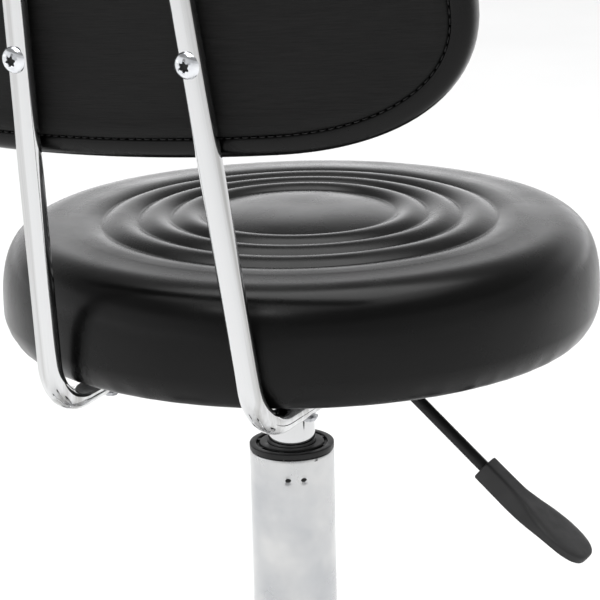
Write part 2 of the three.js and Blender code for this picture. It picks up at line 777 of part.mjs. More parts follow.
// Takes the sharp top edges off a leg, with one plane down each side.
function legChamfers() {
  return [-1, 1].map((side) => {
    const wedge = slab([[10, 0], [300, 0], [300, 30], [10, 30]], 60);
    wedge.rotateY(side * THREE.MathUtils.degToRad(38));
    wedge.rotateX(THREE.MathUtils.degToRad(-6.6));
    return wedge.translate(side * 25.5, 0, 106.8);
  });
}

function baseStar() {
  const hub = turned([
    [0, HUB_BOTTOM_Z],
    [33, HUB_BOTTOM_Z],
    [34, HUB_BOTTOM_Z + 2],
    [32, 104],
    [29.5, HUB_TOP_Z],
    [0, HUB_TOP_Z],
  ], 30);
  const leg = cut(legSolid(0), ...legChamfers());
  const channel = legSolid(3.5);
  const boss = turned([
    [0, BOSS_BOTTOM_Z],
    [BOSS_R - 1, BOSS_BOTTOM_Z],
    [BOSS_R, BOSS_BOTTOM_Z + 1],
    [BOSS_R, 80],
    [BOSS_R - 3.5, 83.2],
    [0, 84],
  ], 16).translate(0, LEG_REACH, 0);
  const socket = rod(STEM_R + GAP, BOSS_BOTTOM_Z - 5, 79, 12).translate(0, LEG_REACH, 0);
  const bore = turned([
    [0, HUB_BOTTOM_Z - 2],
    [COLUMN_R - 1.1 + GAP, HUB_BOTTOM_Z - 2],
    [COLUMN_R - 1.1 + GAP, COLUMN_BOTTOM_Z],
    [COLUMN_R + GAP, HUB_TOP_Z - 2],
    [COLUMN_R + GAP, HUB_TOP_Z + 2],
    [0, HUB_TOP_Z + 2],
  ], 32);
  const turns = Array.from({ length: LEG_COUNT }, (_, k) => Math.PI + (2 * Math.PI * k) / LEG_COUNT);
  const copies = (geometry) => turns.map((angle) => geometry.clone().rotateZ(angle));
  const star = join(hub, ...copies(leg));
  return cut(join(cut(star, ...copies(channel)), ...copies(boss)), bore, ...copies(socket));
}

// ---- Casters (drawn with the stem's axis on z and the axle behind it at y = TRAIL) ----------------

function casterStem() {
  return turned([
    [0, 46.4],
    [STEM_R, 46.4],
    [STEM_R, HOUSING_TOP_Z + GAP],
    [8.5, HOUSING_TOP_Z + GAP],
    [8.5, BOSS_BOTTOM_Z - GAP],
    [STEM_R, BOSS_BOTTOM_Z - GAP],
    [STEM_R, 78.4],
    [0, 78.4],
  ], 12);
}

function casterHousing() {
  const hood = slab([
    ...arc(TRAIL, AXLE_Z, 28.6, 12, 96, 5),
    [12.5, HOUSING_TOP_Z - 0.6],
    [10, HOUSING_TOP_Z],
    [-8, HOUSING_TOP_Z],
    [-9.8, HOUSING_TOP_Z - 2],
    [-9.8, 46],
    [-4.4, 31],
    ...arc(TRAIL, AXLE_Z, 26.6, 168, 12, 7),
  ], 2 * WHEEL_OUTER_X - 1);
  const web = slab([
    ...arc(TRAIL, AXLE_Z, 27.4, 0, 180, 7),
    ...arc(TRAIL, AXLE_Z, 9, 180, 360, 4),
  ], 2 * (WHEEL_INNER_X - 0.5));
  const stemBore = rod(STEM_R + GAP, 46.1, HOUSING_TOP_Z + 5, 12);
  const axleBore = rod(AXLE_R + GAP, -30, 30, 10).rotateY(Math.PI / 2).translate(0, TRAIL, AXLE_Z);
  return cut(join(hood, web), stemBore, axleBore);
}

function casterAxle() {
  return rod(AXLE_R, -20.5, 20.5, 10).rotateY(Math.PI / 2).translate(0, TRAIL, AXLE_Z);
}

// Turned about its axle with a flat of the tread facing straight down.
function casterWheel(side) {
  const wheel = turnedRing([
    [AXLE_R + GAP, WHEEL_INNER_X],
    [WHEEL_R, WHEEL_INNER_X],
    [WHEEL_R, WHEEL_OUTER_X - 2.2],
    [WHEEL_R - 2, WHEEL_OUTER_X],
    [17.5, WHEEL_OUTER_X],
    [16.5, WHEEL_OUTER_X - 1.4],
    [AXLE_R + GAP, WHEEL_OUTER_X - 1.4],
  ], WHEEL_SIDES, Math.PI / WHEEL_SIDES);
  return closed(wheel.rotateY(side * Math.PI / 2)).translate(0, TRAIL, AXLE_Z);
}

// ---- Assembly ------------------------------------------------------------------------------------

const stool = new THREE.Group();

place(stool, 'base_star', baseStar(), 'chrome');
place(stool, 'column_tube', columnTube(), 'satinChrome');
place(stool, 'column_bush', columnBush(), 'blackPlastic');
place(stool, 'thrust_bearing', thrustBearing(), 'steel');
place(stool, 'piston_rod', pistonRod(), 'steel');
place(stool, 'retaining_clip', retainingClip(), 'steel');

const upper = new THREE.Group();
upper.position.z = SEAT_Z;
stool.add(upper);

place(upper, 'gas_cylinder', gasCylinder(), 'satinChrome');
place(upper, 'rod_guide', rodGuide(), 'blackPlastic');
place(upper, 'valve_pin', rod(PIN_R, CYLINDER_TOP_Z - 13.5, LEVER_Z - LEVER_R - GAP, 14), 'steel');
place(upper, 'mount_plate', mountPlate(), 'blackSteel');
boltPlaces.forEach(([x, y], i) => {
  const bolt = screw(6, 4, 3, 12.5);
  const mesh = place(upper, `plate_bolt_${i + 1}`, bolt, 'steel');
  mesh.position.set(x, y, PLATE_TOP_Z - PLATE_THICKNESS - GAP);
});

const cushion = new THREE.Group();
cushion.position.y = SEAT_Y;
upper.add(cushion);
place(cushion, 'seat_cover', seatCover(), 'seatVinyl');
place(cushion, 'seat_foam', seatFoam(), 'foam');
place(upper, 'seat_board', seatBoard(), 'plywood');
place(upper, 'dust_cover', dustCover(), 'felt');

place(upper, 'back_tube_right', backTube(-1), 'chrome');
place(upper, 'back_tube_left', backTube(1), 'chrome');
seatScrewPlaces.forEach(([x, y], i) => {
  const mesh = place(upper, `seat_screw_${i + 1}`, screw(5.5, 3, 2.9, 23.5), 'steel');
  mesh.position.set(x, y, runPoint(Math.sign(x), y).z - TUBE_R - 2 * GAP);
});

place(upper, 'lever_rod', leverRod(), 'blackSteel');
place(upper, 'lever_grip', leverGrip(), 'greyPlastic');

const backrest = new THREE.Group();
backrest.position.copy(framePoint(0, BACK_BASE_Z));
backrest.rotation.set(-LEAN, FRAME_ROLL, 0, 'YXZ');
upper.add(backrest);
const panel = new THREE.Group();
panel.rotation.y = PANEL_ROLL;
panel.position.set(-Math.sin(PANEL_ROLL), 0, 1 - Math.cos(PANEL_ROLL)).multiplyScalar(BACK_HEIGHT / 2);
backrest.add(panel);
place(panel, 'back_cover', backCover(), 'seatVinyl');
place(panel, 'back_foam', backFoam(), 'foam');
place(panel, 'back_board', backBoard(), 'plywood');
place(panel, 'back_rear_panel', backRearPanel(), 'backFabric');
backScrewPlaces.forEach(([x, v], i) => {
  const mesh = place(backrest, `back_screw_${i + 1}`, screw(6.3, 3, 2.5, 21), 'chrome');
  mesh.rotation.x = Math.PI / 2;
  mesh.position.set(x, TUBE_R + GAP, v);
});

for (let k = 0; k < LEG_COUNT; k += 1) {
  const angle = -Math.PI / 2 + (2 * Math.PI * k) / LEG_COUNT;
  const caster = new THREE.Group();
  caster.position.set(LEG_REACH * Math.cos(angle), LEG_REACH * Math.sin(angle), 0);
  stool.add(caster);
  place(caster, `caster_${k + 1}_stem`, casterStem(), 'steel');
  place(caster, `caster_${k + 1}_housing`, casterHousing(), 'blackPlastic');
  place(caster, `caster_${k + 1}_axle`, casterAxle(), 'steel');
  place(caster, `caster_${k + 1}_wheel_left`, casterWheel(1), 'blackPlastic');
  place(caster, `caster_${k + 1}_wheel_right`, casterWheel(-1), 'blackPlastic');
}

export default stool;
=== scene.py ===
"""Rolling stylist stool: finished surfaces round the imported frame, studio floor, light and camera.

Units are metres, and numbers in millimetres are multiplied by MM.
"""
import json
import math

import bmesh
import bpy
import numpy as np
from mathutils import Matrix, Vector


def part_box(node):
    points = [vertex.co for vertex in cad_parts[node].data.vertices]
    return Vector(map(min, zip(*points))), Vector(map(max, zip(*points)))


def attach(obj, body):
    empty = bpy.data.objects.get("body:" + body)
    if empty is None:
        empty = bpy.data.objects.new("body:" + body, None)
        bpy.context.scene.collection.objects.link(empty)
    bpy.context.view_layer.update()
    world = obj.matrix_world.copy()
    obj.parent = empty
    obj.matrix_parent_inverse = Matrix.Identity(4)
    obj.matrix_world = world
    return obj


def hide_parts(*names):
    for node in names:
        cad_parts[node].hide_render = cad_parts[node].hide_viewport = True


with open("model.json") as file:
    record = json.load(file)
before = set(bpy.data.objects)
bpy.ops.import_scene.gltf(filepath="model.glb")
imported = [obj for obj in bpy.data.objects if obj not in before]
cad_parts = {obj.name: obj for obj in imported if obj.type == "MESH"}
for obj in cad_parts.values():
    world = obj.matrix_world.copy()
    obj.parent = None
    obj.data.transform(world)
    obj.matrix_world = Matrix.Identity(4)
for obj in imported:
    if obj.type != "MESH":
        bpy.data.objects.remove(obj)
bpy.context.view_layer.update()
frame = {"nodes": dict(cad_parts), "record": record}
NODES = frame["nodes"]
RNG = np.random.default_rng(7)

MM = 0.001
SEAT_LO, SEAT_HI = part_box("seat_cover")
SEAT_R = (SEAT_HI.x - SEAT_LO.x) / 2
SEAT_Y = (SEAT_HI.y + SEAT_LO.y) / 2
SEAT_DEPTH = 63.4
SEAT_Z = SEAT_LO.z + SEAT_DEPTH * MM
LEAN = math.radians(6.1)
SPLAY = math.radians(3.45)
FRAME_ROLL = math.radians(1.97)
PANEL_ROLL = math.radians(1.47)


# ---- Small mesh tools ----------------------------------------------------------------------------

def add_object(name, verts, faces, material=None, smooth=True):
    mesh = bpy.data.meshes.new(name)
    mesh.from_pydata([tuple(v) for v in verts], [], [tuple(f) for f in faces])
    mesh.validate()
    mesh.update()
    obj = bpy.data.objects.new(name, mesh)
    bpy.context.scene.collection.objects.link(obj)
    if smooth:
        mesh.shade_smooth()
    if material is not None:
        mesh.materials.append(material)
    return obj


def grid_faces(rings, count):
    """Quads between rings of count points each."""
    faces = []
    for k in range(rings - 1):
        a, b = k * count, (k + 1) * count
        for i in range(count):
            j = (i + 1) % count
            faces.append((a + i, a + j, b + j, b + i))
    return faces


def end_caps(rings, count):
    """One face over the first ring and one over the last."""
    return [tuple(range(count)), tuple(range((rings - 1) * count, rings * count))]


def strip_faces(rings, closed=False):
    """Faces between rings given as lists of point numbers, where a ring of one repeated point makes triangles."""
    faces = []
    following = rings[1:] + rings[:1] if closed else rings[1:]
    for a, b in zip(rings, following):
        for i in range(len(a)):
            j = (i + 1) % len(a)
            face = tuple(dict.fromkeys((a[i], a[j], b[j], b[i])))
            if len(face) > 2:
                faces.append(face)
    return faces


def in_mm(points):
    return [tuple(c * MM for c in point) for point in points]


def revolve(profile, count=96, closed=False):
    """Verts and faces of a profile of (radius, height) turned about Z. Points on the axis are single points."""
    verts, rings = [], []
    for r, z in profile:
        if r < 1e-7:
            rings.append([len(verts)] * count)
            verts.append((0.0, 0.0, z))
        else:
            rings.append(list(range(len(verts), len(verts) + count)))
            for i in range(count):
                a = 2 * math.pi * i / count
                verts.append((r * math.cos(a), r * math.sin(a), z))
    return verts, strip_faces(rings, closed)


def rounded(points, radius, steps=4):
    """A closed profile with each corner rounded."""
    out = []
    n = len(points)
    for i in range(n):
        p, a, b = (Vector(points[k % n]).to_2d() for k in (i, i - 1, i + 1))
        to_a, to_b = a - p, b - p
        cutoff = min(radius, 0.45 * to_a.length, 0.45 * to_b.length)
        s, e = p + to_a.normalized() * cutoff, p + to_b.normalized() * cutoff
        for k in range(steps + 1):
            t = k / steps
            out.append(tuple(s * (1 - t) ** 2 + p * 2 * t * (1 - t) + e * t ** 2))
    return out


def sweep(path, radius, count=32, caps=True):
    """Verts and faces of a round bar along points, its frame carried along without twist."""
    pts = [Vector(p) for p in path]
    tangents = []
    for i in range(len(pts)):
        tangents.append((pts[min(i + 1, len(pts) - 1)] - pts[max(i - 1, 0)]).normalized())
    normal = tangents[0].orthogonal().normalized()
    radii = radius if isinstance(radius, (list, tuple)) else [radius] * len(pts)
    verts = []
    for i, p in enumerate(pts):
        if i:
            normal = (tangents[i - 1].rotation_difference(tangents[i]) @ normal).normalized()
        side = tangents[i].cross(normal)
        for k in range(count):
            a = 2 * math.pi * k / count
            verts.append(p + (normal * math.cos(a) + side * math.sin(a)) * radii[i])
    faces = grid_faces(len(pts), count)
    if caps:
        faces.append(tuple(reversed(range(count))))
        faces.append(tuple(range((len(pts) - 1) * count, len(pts) * count)))
    return verts, faces


def merged(*pieces):
    verts, faces = [], []
    for v, f in pieces:
        base = len(verts)
        verts.extend(v)
        faces.extend(tuple(base + i for i in face) for face in f)
    return verts, faces


def moved(piece, matrix):
    verts, faces = piece
    return [matrix @ Vector(v) for v in verts], faces


def smoothstep(a, b, x):
    t = np.clip((x - a) / (b - a), 0, 1)
    return t * t * (3 - 2 * t)


def face_out(obj, weld=None):
    """Turns a closed mesh's faces outwards, after joining points closer than weld."""
    bm = bmesh.new()
    bm.from_mesh(obj.data)
    if weld:
        bmesh.ops.remove_doubles(bm, verts=bm.verts, dist=weld)
    bmesh.ops.recalc_face_normals(bm, faces=bm.faces)
    bm.to_mesh(obj.data)
    bm.free()
    return obj


def inflate(profile_rings, count, pins, pressure, cap, step=(3, 2), frames=20):
    """Cloth under pressure on a coarser copy of a ringed surface.

    profile_rings is an array of rings by points by xyz, and pins holds one weight for each ring. What comes back is
    how far each point of the full surface moves, by no more than cap.
    """
    rings = len(profile_rings)
    keep = np.unique(np.append(np.arange(0, rings, step[0]), rings - 1))
    turn = np.arange(0, count, step[1])
    coarse = profile_rings[np.ix_(keep, turn)]
    n, m = len(keep), len(turn)
    obj = add_object("cloth_copy", coarse.reshape(-1, 3), grid_faces(n, m))
    group = obj.vertex_groups.new(name="pin")
    for k, ring in enumerate(keep):
        group.add(list(range(k * m, (k + 1) * m)), float(pins[ring]), "REPLACE")
    mod = obj.modifiers.new("Cloth", "CLOTH")
    s = mod.settings
    s.quality = 6
    s.mass = 0.3
    s.tension_stiffness = 20
    s.compression_stiffness = 20
    s.shear_stiffness = 12
    s.bending_stiffness = 2.0
    s.vertex_group_mass = "pin"
    s.pin_stiffness = 1.0
    s.use_pressure = True
    s.uniform_pressure_force = pressure
    s.effector_weights.gravity = 0
    mod.collision_settings.use_collision = False
    mod.collision_settings.use_self_collision = False
    mod.point_cache.frame_start = 1
    mod.point_cache.frame_end = frames
    scene = bpy.context.scene
    for f in range(1, frames + 1):
        scene.frame_set(f)
    held = obj.evaluated_get(bpy.context.evaluated_depsgraph_get())
    new = np.zeros(n * m * 3)
    held.data.vertices.foreach_get("co", new)
    moves = (new - coarse.ravel()).reshape(n, m, 3)
    length = np.linalg.norm(moves, axis=2, keepdims=True)
    moves = moves * np.minimum(length, cap) / np.maximum(length, 1e-9)
    scene.frame_set(1)
    bpy.data.objects.remove(obj)
    # Back to the full surface, along the rings and then across them.
    wrapped = np.concatenate([moves, moves[:, :1]], 1)
    at = np.arange(count) / step[1]
    along = np.stack([[np.interp(at, np.arange(m + 1), wrapped[k, :, c]) for c in range(3)] for k in range(n)])
    full = np.stack([[np.interp(np.arange(rings), keep, along[:, c, i]) for c in range(3)] for i in range(count)])
    return full.transpose(2, 0, 1)


def softened(moves, times):
    """Evens out a ring-by-point array, along the rings and across them."""
    for _ in range(times):
        moves = (np.roll(moves, 1, 1) + 2 * moves + np.roll(moves, -1, 1)) / 4
        moves[1:-1] = (moves[:-2] + 2 * moves[1:-1] + moves[2:]) / 4
    return moves


# ---- Materials -----------------------------------------------------------------------------------

class Look:
    """A principled material with helpers for object-space textures."""

    def __init__(self, name, color, roughness=0.5, metallic=0.0, **socket_shade_discs):
        self.mat = bpy.data.materials.new(name)
        self.mat.use_nodes = True
        self.nodes = self.mat.node_tree.nodes
        self.links = self.mat.node_tree.links
        self.shader = self.nodes["Principled BSDF"]
        self.shader.inputs["Base Color"].default_value = (*color, 1)
        self.shader.inputs["Roughness"].default_value = roughness
        self.shader.inputs["Metallic"].default_value = metallic
        for key, value in socket_shade_discs.items():
            self.shader.inputs[key.replace("_", " ")].default_value = value
        self.coords = self.nodes.new("ShaderNodeTexCoord").outputs["Object"]
        self.normal = None

    def node(self, kind, **values):
        n = self.nodes.new(kind)
        for key, value in values.items():
            if hasattr(n, key):
                setattr(n, key, value)
            else:
                n.inputs[key.replace("_", " ")].default_value = value
        return n

    def stretched(self, scale):
        m = self.node("ShaderNodeMapping")
        m.inputs["Scale"].default_value = scale
        self.links.new(self.coords, m.inputs["Vector"])
        return m.outputs["Vector"]

    def noise(self, scale, detail=3.0, rough=0.5, stretch=None, distortion=0.0):
        n = self.node("ShaderNodeTexNoise", Scale=scale, Detail=detail, Roughness=rough, Distortion=distortion)
        self.links.new(self.stretched(stretch) if stretch else self.coords, n.inputs["Vector"])
        return n.outputs["Fac"]

    def cells(self, scale):
        n = self.node("ShaderNodeTexVoronoi", feature="DISTANCE_TO_EDGE", Scale=scale)
        self.links.new(self.coords, n.inputs["Vector"])
        return n.outputs["Distance"]

    def ramp(self, value, low, high, at):
        n = self.node("ShaderNodeMapRange", clamp=True)
        n.inputs["From Min"].default_value, n.inputs["From Max"].default_value = at
        n.inputs["To Min"].default_value, n.inputs["To Max"].default_value = low, high
        self.links.new(value, n.inputs["Value"])
        return n.outputs["Result"]

    def colour(self, value, dark, light, at=(0.3, 0.7)):
        n = self.node("ShaderNodeValToRGB")
        n.color_ramp.elements[0].position, n.color_ramp.elements[1].position = at
        n.color_ramp.elements[0].color = (*dark, 1)
        n.color_ramp.elements[1].color = (*light, 1)
        self.links.new(value, n.inputs["Fac"])
        self.links.new(n.outputs["Color"], self.shader.inputs["Base Color"])
        return self

    def rough(self, value, low, high, at=(0.3, 0.7)):
        self.links.new(self.ramp(value, low, high, at), self.shader.inputs["Roughness"])
        return self

    def bump(self, height, strength, distance):
        n = self.node("ShaderNodeBump", Strength=strength, Distance=distance)
        self.links.new(height, n.inputs["Height"])
        if self.normal is not None:
            self.links.new(self.normal, n.inputs["Normal"])
        self.normal = n.outputs["Normal"]
        self.links.new(self.normal, self.shader.inputs["Normal"])
        return self


def make_looks():
    looks = {}

    vinyl = Look("seat_vinyl", (0.004, 0.004, 0.004), 0.25, Specular_IOR_Level=0.21)
    vinyl.colour(vinyl.noise(9, 3), (0.0012, 0.0012, 0.0012), (0.0026, 0.0026, 0.0025))
    vinyl.rough(vinyl.noise(26, 4, 0.6), 0.21, 0.31)
    vinyl.bump(vinyl.cells(900), 0.12, 0.0002)
    vinyl.bump(vinyl.noise(340, 4, 0.65), 0.1, 0.0003)
    looks["seat_vinyl"] = vinyl.mat

    back = Look("back_fabric", (0.010, 0.010, 0.0105), 0.55, Specular_IOR_Level=0.22)
    threads = back.noise(60, 3, 0.6, stretch=(1.0, 1.0, 28.0), distortion=0.15)
    back.colour(threads, (0.0010, 0.0010, 0.0010), (0.0085, 0.0085, 0.0082), at=(0.35, 0.66))
    back.rough(threads, 0.52, 0.7)
    back.bump(back.noise(90, 3, 0.6, stretch=(1.0, 1.0, 22.0), distortion=0.1), 0.7, 0.0005)
    back.bump(back.noise(900, 2), 0.15, 0.0002)
    looks["back_fabric"] = back.mat

    felt = Look("felt", (0.008, 0.008, 0.0085), 0.95, Specular_IOR_Level=0.15,
                Sheen_Weight=0.25, Sheen_Roughness=0.6)
    felt.colour(felt.noise(260, 5, 0.7), (0.004, 0.004, 0.0042), (0.017, 0.017, 0.018))
    felt.bump(felt.noise(800, 5, 0.75), 0.8, 0.0008)
    looks["felt"] = felt.mat

    thread = Look("thread", (0.006, 0.006, 0.006), 0.7)
    thread.colour(thread.noise(900, 2), (0.004, 0.004, 0.004), (0.012, 0.012, 0.012))
    thread.bump(thread.noise(1500, 2), 0.4, 0.0002)
    looks["thread"] = thread.mat

    foam = Look("foam", (0.62, 0.56, 0.38), 0.95)
    foam.colour(foam.noise(220, 4), (0.52, 0.46, 0.3), (0.7, 0.64, 0.45))
    foam.bump(foam.cells(700), 0.5, 0.0005)
    looks["foam"] = foam.mat

    wood = Look("plywood", (0.5, 0.34, 0.19), 0.65)
    wood.colour(wood.noise(14, 5, 0.6, stretch=(1.0, 9.0, 30.0)), (0.38, 0.24, 0.12), (0.62, 0.45, 0.27))
    wood.bump(wood.noise(60, 5, 0.6, stretch=(1.0, 9.0, 1.0)), 0.3, 0.0004)
    looks["plywood"] = wood.mat

    # The second chrome has fine grey streaks along its own Z: partly drawing streaks in the metal, partly a painted
    # reflection standing for the room's dark bands.
    chrome = Look("chrome", (0.86, 0.865, 0.87), 0.06, 1.0)
    chrome.colour(chrome.noise(7, 3), (0.62, 0.622, 0.625), (0.72, 0.725, 0.73))
    streaks_and_reflection = Look("streaked_chrome_painted_reflection", (0.7, 0.7, 0.7), 0.06, 1.0)
    streaks_and_reflection.colour(streaks_and_reflection.noise(120, 4, 0.62, stretch=(1.0, 1.0, 0.012)), (0.40, 0.395, 0.385), (0.72, 0.725, 0.73),
                 at=(0.33, 0.56))
    for key, look in (("chrome", chrome), ("streaked_chrome_painted_reflection", streaks_and_reflection)):
        look.rough(look.noise(38, 5, 0.65), 0.035, 0.12, at=(0.35, 0.8))
        look.bump(look.noise(55, 3, 0.5, stretch=(1.0, 1.0, 0.2)), 0.05, 0.0006)
        looks[key] = look.mat

    satin = Look("satin_chrome", (0.78, 0.79, 0.805), 0.2, 1.0)
    satin.colour(satin.noise(34, 4, 0.6), (0.50, 0.51, 0.525), (0.63, 0.632, 0.63), at=(0.33, 0.67))
    satin.rough(satin.noise(24, 4, 0.55, distortion=0.6), 0.12, 0.3, at=(0.38, 0.62))
    satin.bump(satin.noise(16, 3, 0.5, distortion=0.5), 0.12, 0.0008)
    satin.bump(satin.noise(120, 4, 0.6, stretch=(1.0, 1.0, 0.08)), 0.06, 0.0002)
    looks["satin_chrome"] = satin.mat

    # The plainer ones: each has one noise for its colour, one for its roughness and one for its relief.
    plainer = {
        "steel": (Look("zinc_steel", (0.6, 0.61, 0.63), 0.3, 1.0),
                  (120, 4), (0.48, 0.49, 0.51), (0.68, 0.69, 0.71), (200, 3), 0.22, 0.42, (600, 3), 0.12, 0.0002),
        "steel_bright": (Look("bright_zinc", (0.80, 0.82, 0.85), 0.16, 1.0),
                         (160, 3), (0.72, 0.74, 0.77), (0.86, 0.875, 0.9), (260, 3), 0.1, 0.24,
                         (700, 2), 0.05, 0.0001),
        "black_steel": (Look("black_powder_coat", (0.006, 0.006, 0.006), 0.42, Specular_IOR_Level=0.3),
                        (60, 3), (0.003, 0.003, 0.0032), (0.008, 0.008, 0.0082), (90, 3), 0.36, 0.52,
                        (700, 3, 0.6), 0.25, 0.0003),
        "black_plastic": (Look("black_plastic", (0.007, 0.007, 0.007), 0.4, Specular_IOR_Level=0.35),
                          (40, 3), (0.004, 0.004, 0.0042), (0.009, 0.009, 0.0092), (130, 3), 0.36, 0.5,
                          (1400, 2), 0.2, 0.00015),
        "grey_plastic": (Look("grip_plastic", (0.030, 0.030, 0.032), 0.5, Specular_IOR_Level=0.42),
                         (50, 3), (0.015, 0.015, 0.0155), (0.023, 0.023, 0.0235), (160, 3), 0.45, 0.58,
                         (1600, 2), 0.35, 0.0002),
        "wheel_plastic": (Look("wheel_plastic", (0.014, 0.014, 0.015), 0.5),
                          (70, 4), (0.009, 0.009, 0.0095), (0.024, 0.024, 0.024), (110, 4), 0.4, 0.65,
                          (500, 3), 0.2, 0.0002),
    }
    for key, (look, tone, dark, light, gloss, smoothest, roughest, relief, strength, depth) in plainer.items():
        look.colour(look.noise(*tone), dark, light)
        look.rough(look.noise(*gloss), smoothest, roughest)
        look.bump(look.noise(*relief), strength, depth)
        looks[key] = look.mat
    return looks


LOOKS = make_looks()


def declare(obj, slot, body, *replaced, at=None):
    """Parents an object to the body that it rides on and hides the frame nodes that it replaces. The slot argument
    is not used.
    """
    if at is not None:
        obj.matrix_world = at
    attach(obj, body)
    if replaced:
        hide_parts(*replaced)


def piece(name, shape, slot, body, *replaced, at=None, sharp=None, look=None):
    """Adds a visible piece. Edges above sharp degrees stay crisp."""
    obj = add_object(name, *shape, LOOKS[look or slot])
    face_out(obj)
    if sharp is not None:
        obj.data.set_sharp_from_angle(angle=math.radians(sharp))
    declare(obj, slot, body, *replaced, at=at)
    return obj


# ---- Seat cushion --------------------------------------------------------------------------------

GROOVES = [56, 75, 94, 115]
SHOULDER_W, SHOULDER_P, WIDEST_Z = 34.0, 3.06, -47.6
UNDERCUT_W, UNDERCUT_P, BOTTOM_Z = 8.7, 1.54, -SEAT_DEPTH


def crown(r):
    return 3.2 * (1 - (r / GROOVES[3]) ** 2) - 1


def ridge_height(r):
    """Height of the pressed dome, ridges and shoulder above a smooth top, in millimetres."""
    r = np.asarray(r, float)
    h = crown(r)
    dome = r < GROOVES[0]
    h = np.where(dome, crown(GROOVES[0]) + 4.4 * (1 - np.clip(r / GROOVES[0], 0, 1) ** 3.2), h)
    for a, b in zip(GROOVES, GROOVES[1:]):
        t = np.clip((r - a) / (b - a), 0, 1)
        h = np.where((r >= a) & (r < b), crown(r) + 3.3 * (1 - np.abs(2 * t - 1) ** 1.9), h)
    t = np.clip((r - GROOVES[3]) / 26, 0, 1)
    h = np.where(r >= GROOVES[3], -1.0 + 2.4 * np.sin(math.pi / 2 * np.clip(t * 2.1, 0, 1)) ** 0.8 - 1.4 * t * t, h)
    return h


def seat_profile():
    """The cushion's smooth surface from the centre to the opening underneath, [radius, height] in millimetres."""
    radius = SEAT_R / MM
    top = [(r, 0.0) for r in np.concatenate([
        np.linspace(0, 50, 14), np.linspace(52, 135, 76)])]
    roll = []
    for t in np.linspace(math.radians(88), 0, 30):
        roll.append((
            radius - SHOULDER_W * (1 - math.cos(t) ** (2 / SHOULDER_P)),
            WIDEST_Z - WIDEST_Z * math.sin(t) ** (2 / SHOULDER_P),
        ))
    roll = [p for p in roll if p[0] > 137.5]
    under = []
    for t in np.linspace(math.radians(8), math.radians(90), 14):
        under.append((
            radius - UNDERCUT_W * (1 - max(math.cos(t), 0) ** (2 / UNDERCUT_P)),
            WIDEST_Z + (BOTTOM_Z - WIDEST_Z) * math.sin(t) ** (2 / UNDERCUT_P),
        ))
    rim = [(158, BOTTOM_Z), (150, BOTTOM_Z), (138, BOTTOM_Z), (137.4, BOTTOM_Z + 0.5), (138, BOTTOM_Z + 1.1)]
    inner = [(150, BOTTOM_Z + 1.3), (160, BOTTOM_Z + 1.6)]
    return top + roll + under + rim + inner


def seat_cushion():
    count = 224
    profile = seat_profile()
    verts, faces = revolve([(r * MM, z * MM) for r, z in profile], count)
    obj = add_object("seat_cushion", verts, faces, LOOKS["seat_vinyl"])
    co = np.array(verts)
    # The part of the cover that is free to swell: from the outermost groove round to the staples underneath.
    first = next(k for k, (r, z) in enumerate(profile) if r > 118)
    last = max(k for k, (r, z) in enumerate(profile) if r > 158 and z < BOTTOM_Z + 0.6)
    free = co[1:].reshape(len(profile) - 1, count, 3)[first - 1:last]
    pins = np.zeros(len(free))
    pins[:4] = 1.0
    pins[-4:] = 1.0
    # What each ring grows by on average is taken off again, so only the uneven part stays, mostly on the side.
    moves = inflate(free, count, pins, pressure=9.0, cap=2.4 * MM)
    out = free[:, :, :2] / np.linalg.norm(free[:, :, :2], axis=2, keepdims=True)
    growth = (moves[:, :, :2] * out).sum(2).mean(1)
    moves[:, :, :2] -= out * growth[:, None, None]
    moves[:, :, 2] -= moves[:, :, 2].mean(1)[:, None]
    moves = softened(moves, 6)
    side = 1 - smoothstep(-26, -8, free[:, :1, 2:] / MM)
    free += moves * (0.1 + 0.75 * side)
    z = co[:, 2] / MM
    angle = np.arctan2(co[:, 1], co[:, 0])
    r = np.hypot(co[:, 0], co[:, 1]) / MM
    top = smoothstep(-20, -3, co[:, 2] / MM) * (co[:, 2] / MM > -30)
    fade = 1 - smoothstep(132, 146, r)
    co[:, 2] += ridge_height(np.minimum(r, 141)) * MM * top * fade
    # Soft hand-made unevenness of the grooves, and pulls above the staples underneath.
    wobble = np.sin(angle * 2 + 0.6) * 0.35 + np.sin(angle * 5 + 2.1) * 0.16
    co[:, 2] += wobble * MM * top * smoothstep(40, 120, r) * (1 - smoothstep(150, 165, r))
    pulls = np.zeros(len(angle))
    staples = np.cumsum(RNG.uniform(0.075, 0.15, 60))
    for a in staples[staples < 2 * math.pi]:
        d = np.angle(np.exp(1j * (angle - a)))
        pulls += RNG.uniform(0.4, 1.0) * np.exp(-(d / RNG.uniform(0.012, 0.028)) ** 2)
    near_rim = np.exp(-(((z - (BOTTOM_Z + 4.5)) / 4.5) ** 2)) * (r > 150)
    out = co[:, :2] / np.maximum(np.linalg.norm(co[:, :2], axis=1), 1e-6)[:, None]
    co[:, :2] -= out * (pulls * near_rim * 0.9 * MM)[:, None]
    obj.data.vertices.foreach_set("co", co.ravel())
    obj.data.update()
    face_out(obj)
    declare(obj, "seat_vinyl", "seat", "seat_cover", "seat_foam", at=Matrix.Translation((0, SEAT_Y, SEAT_Z)))


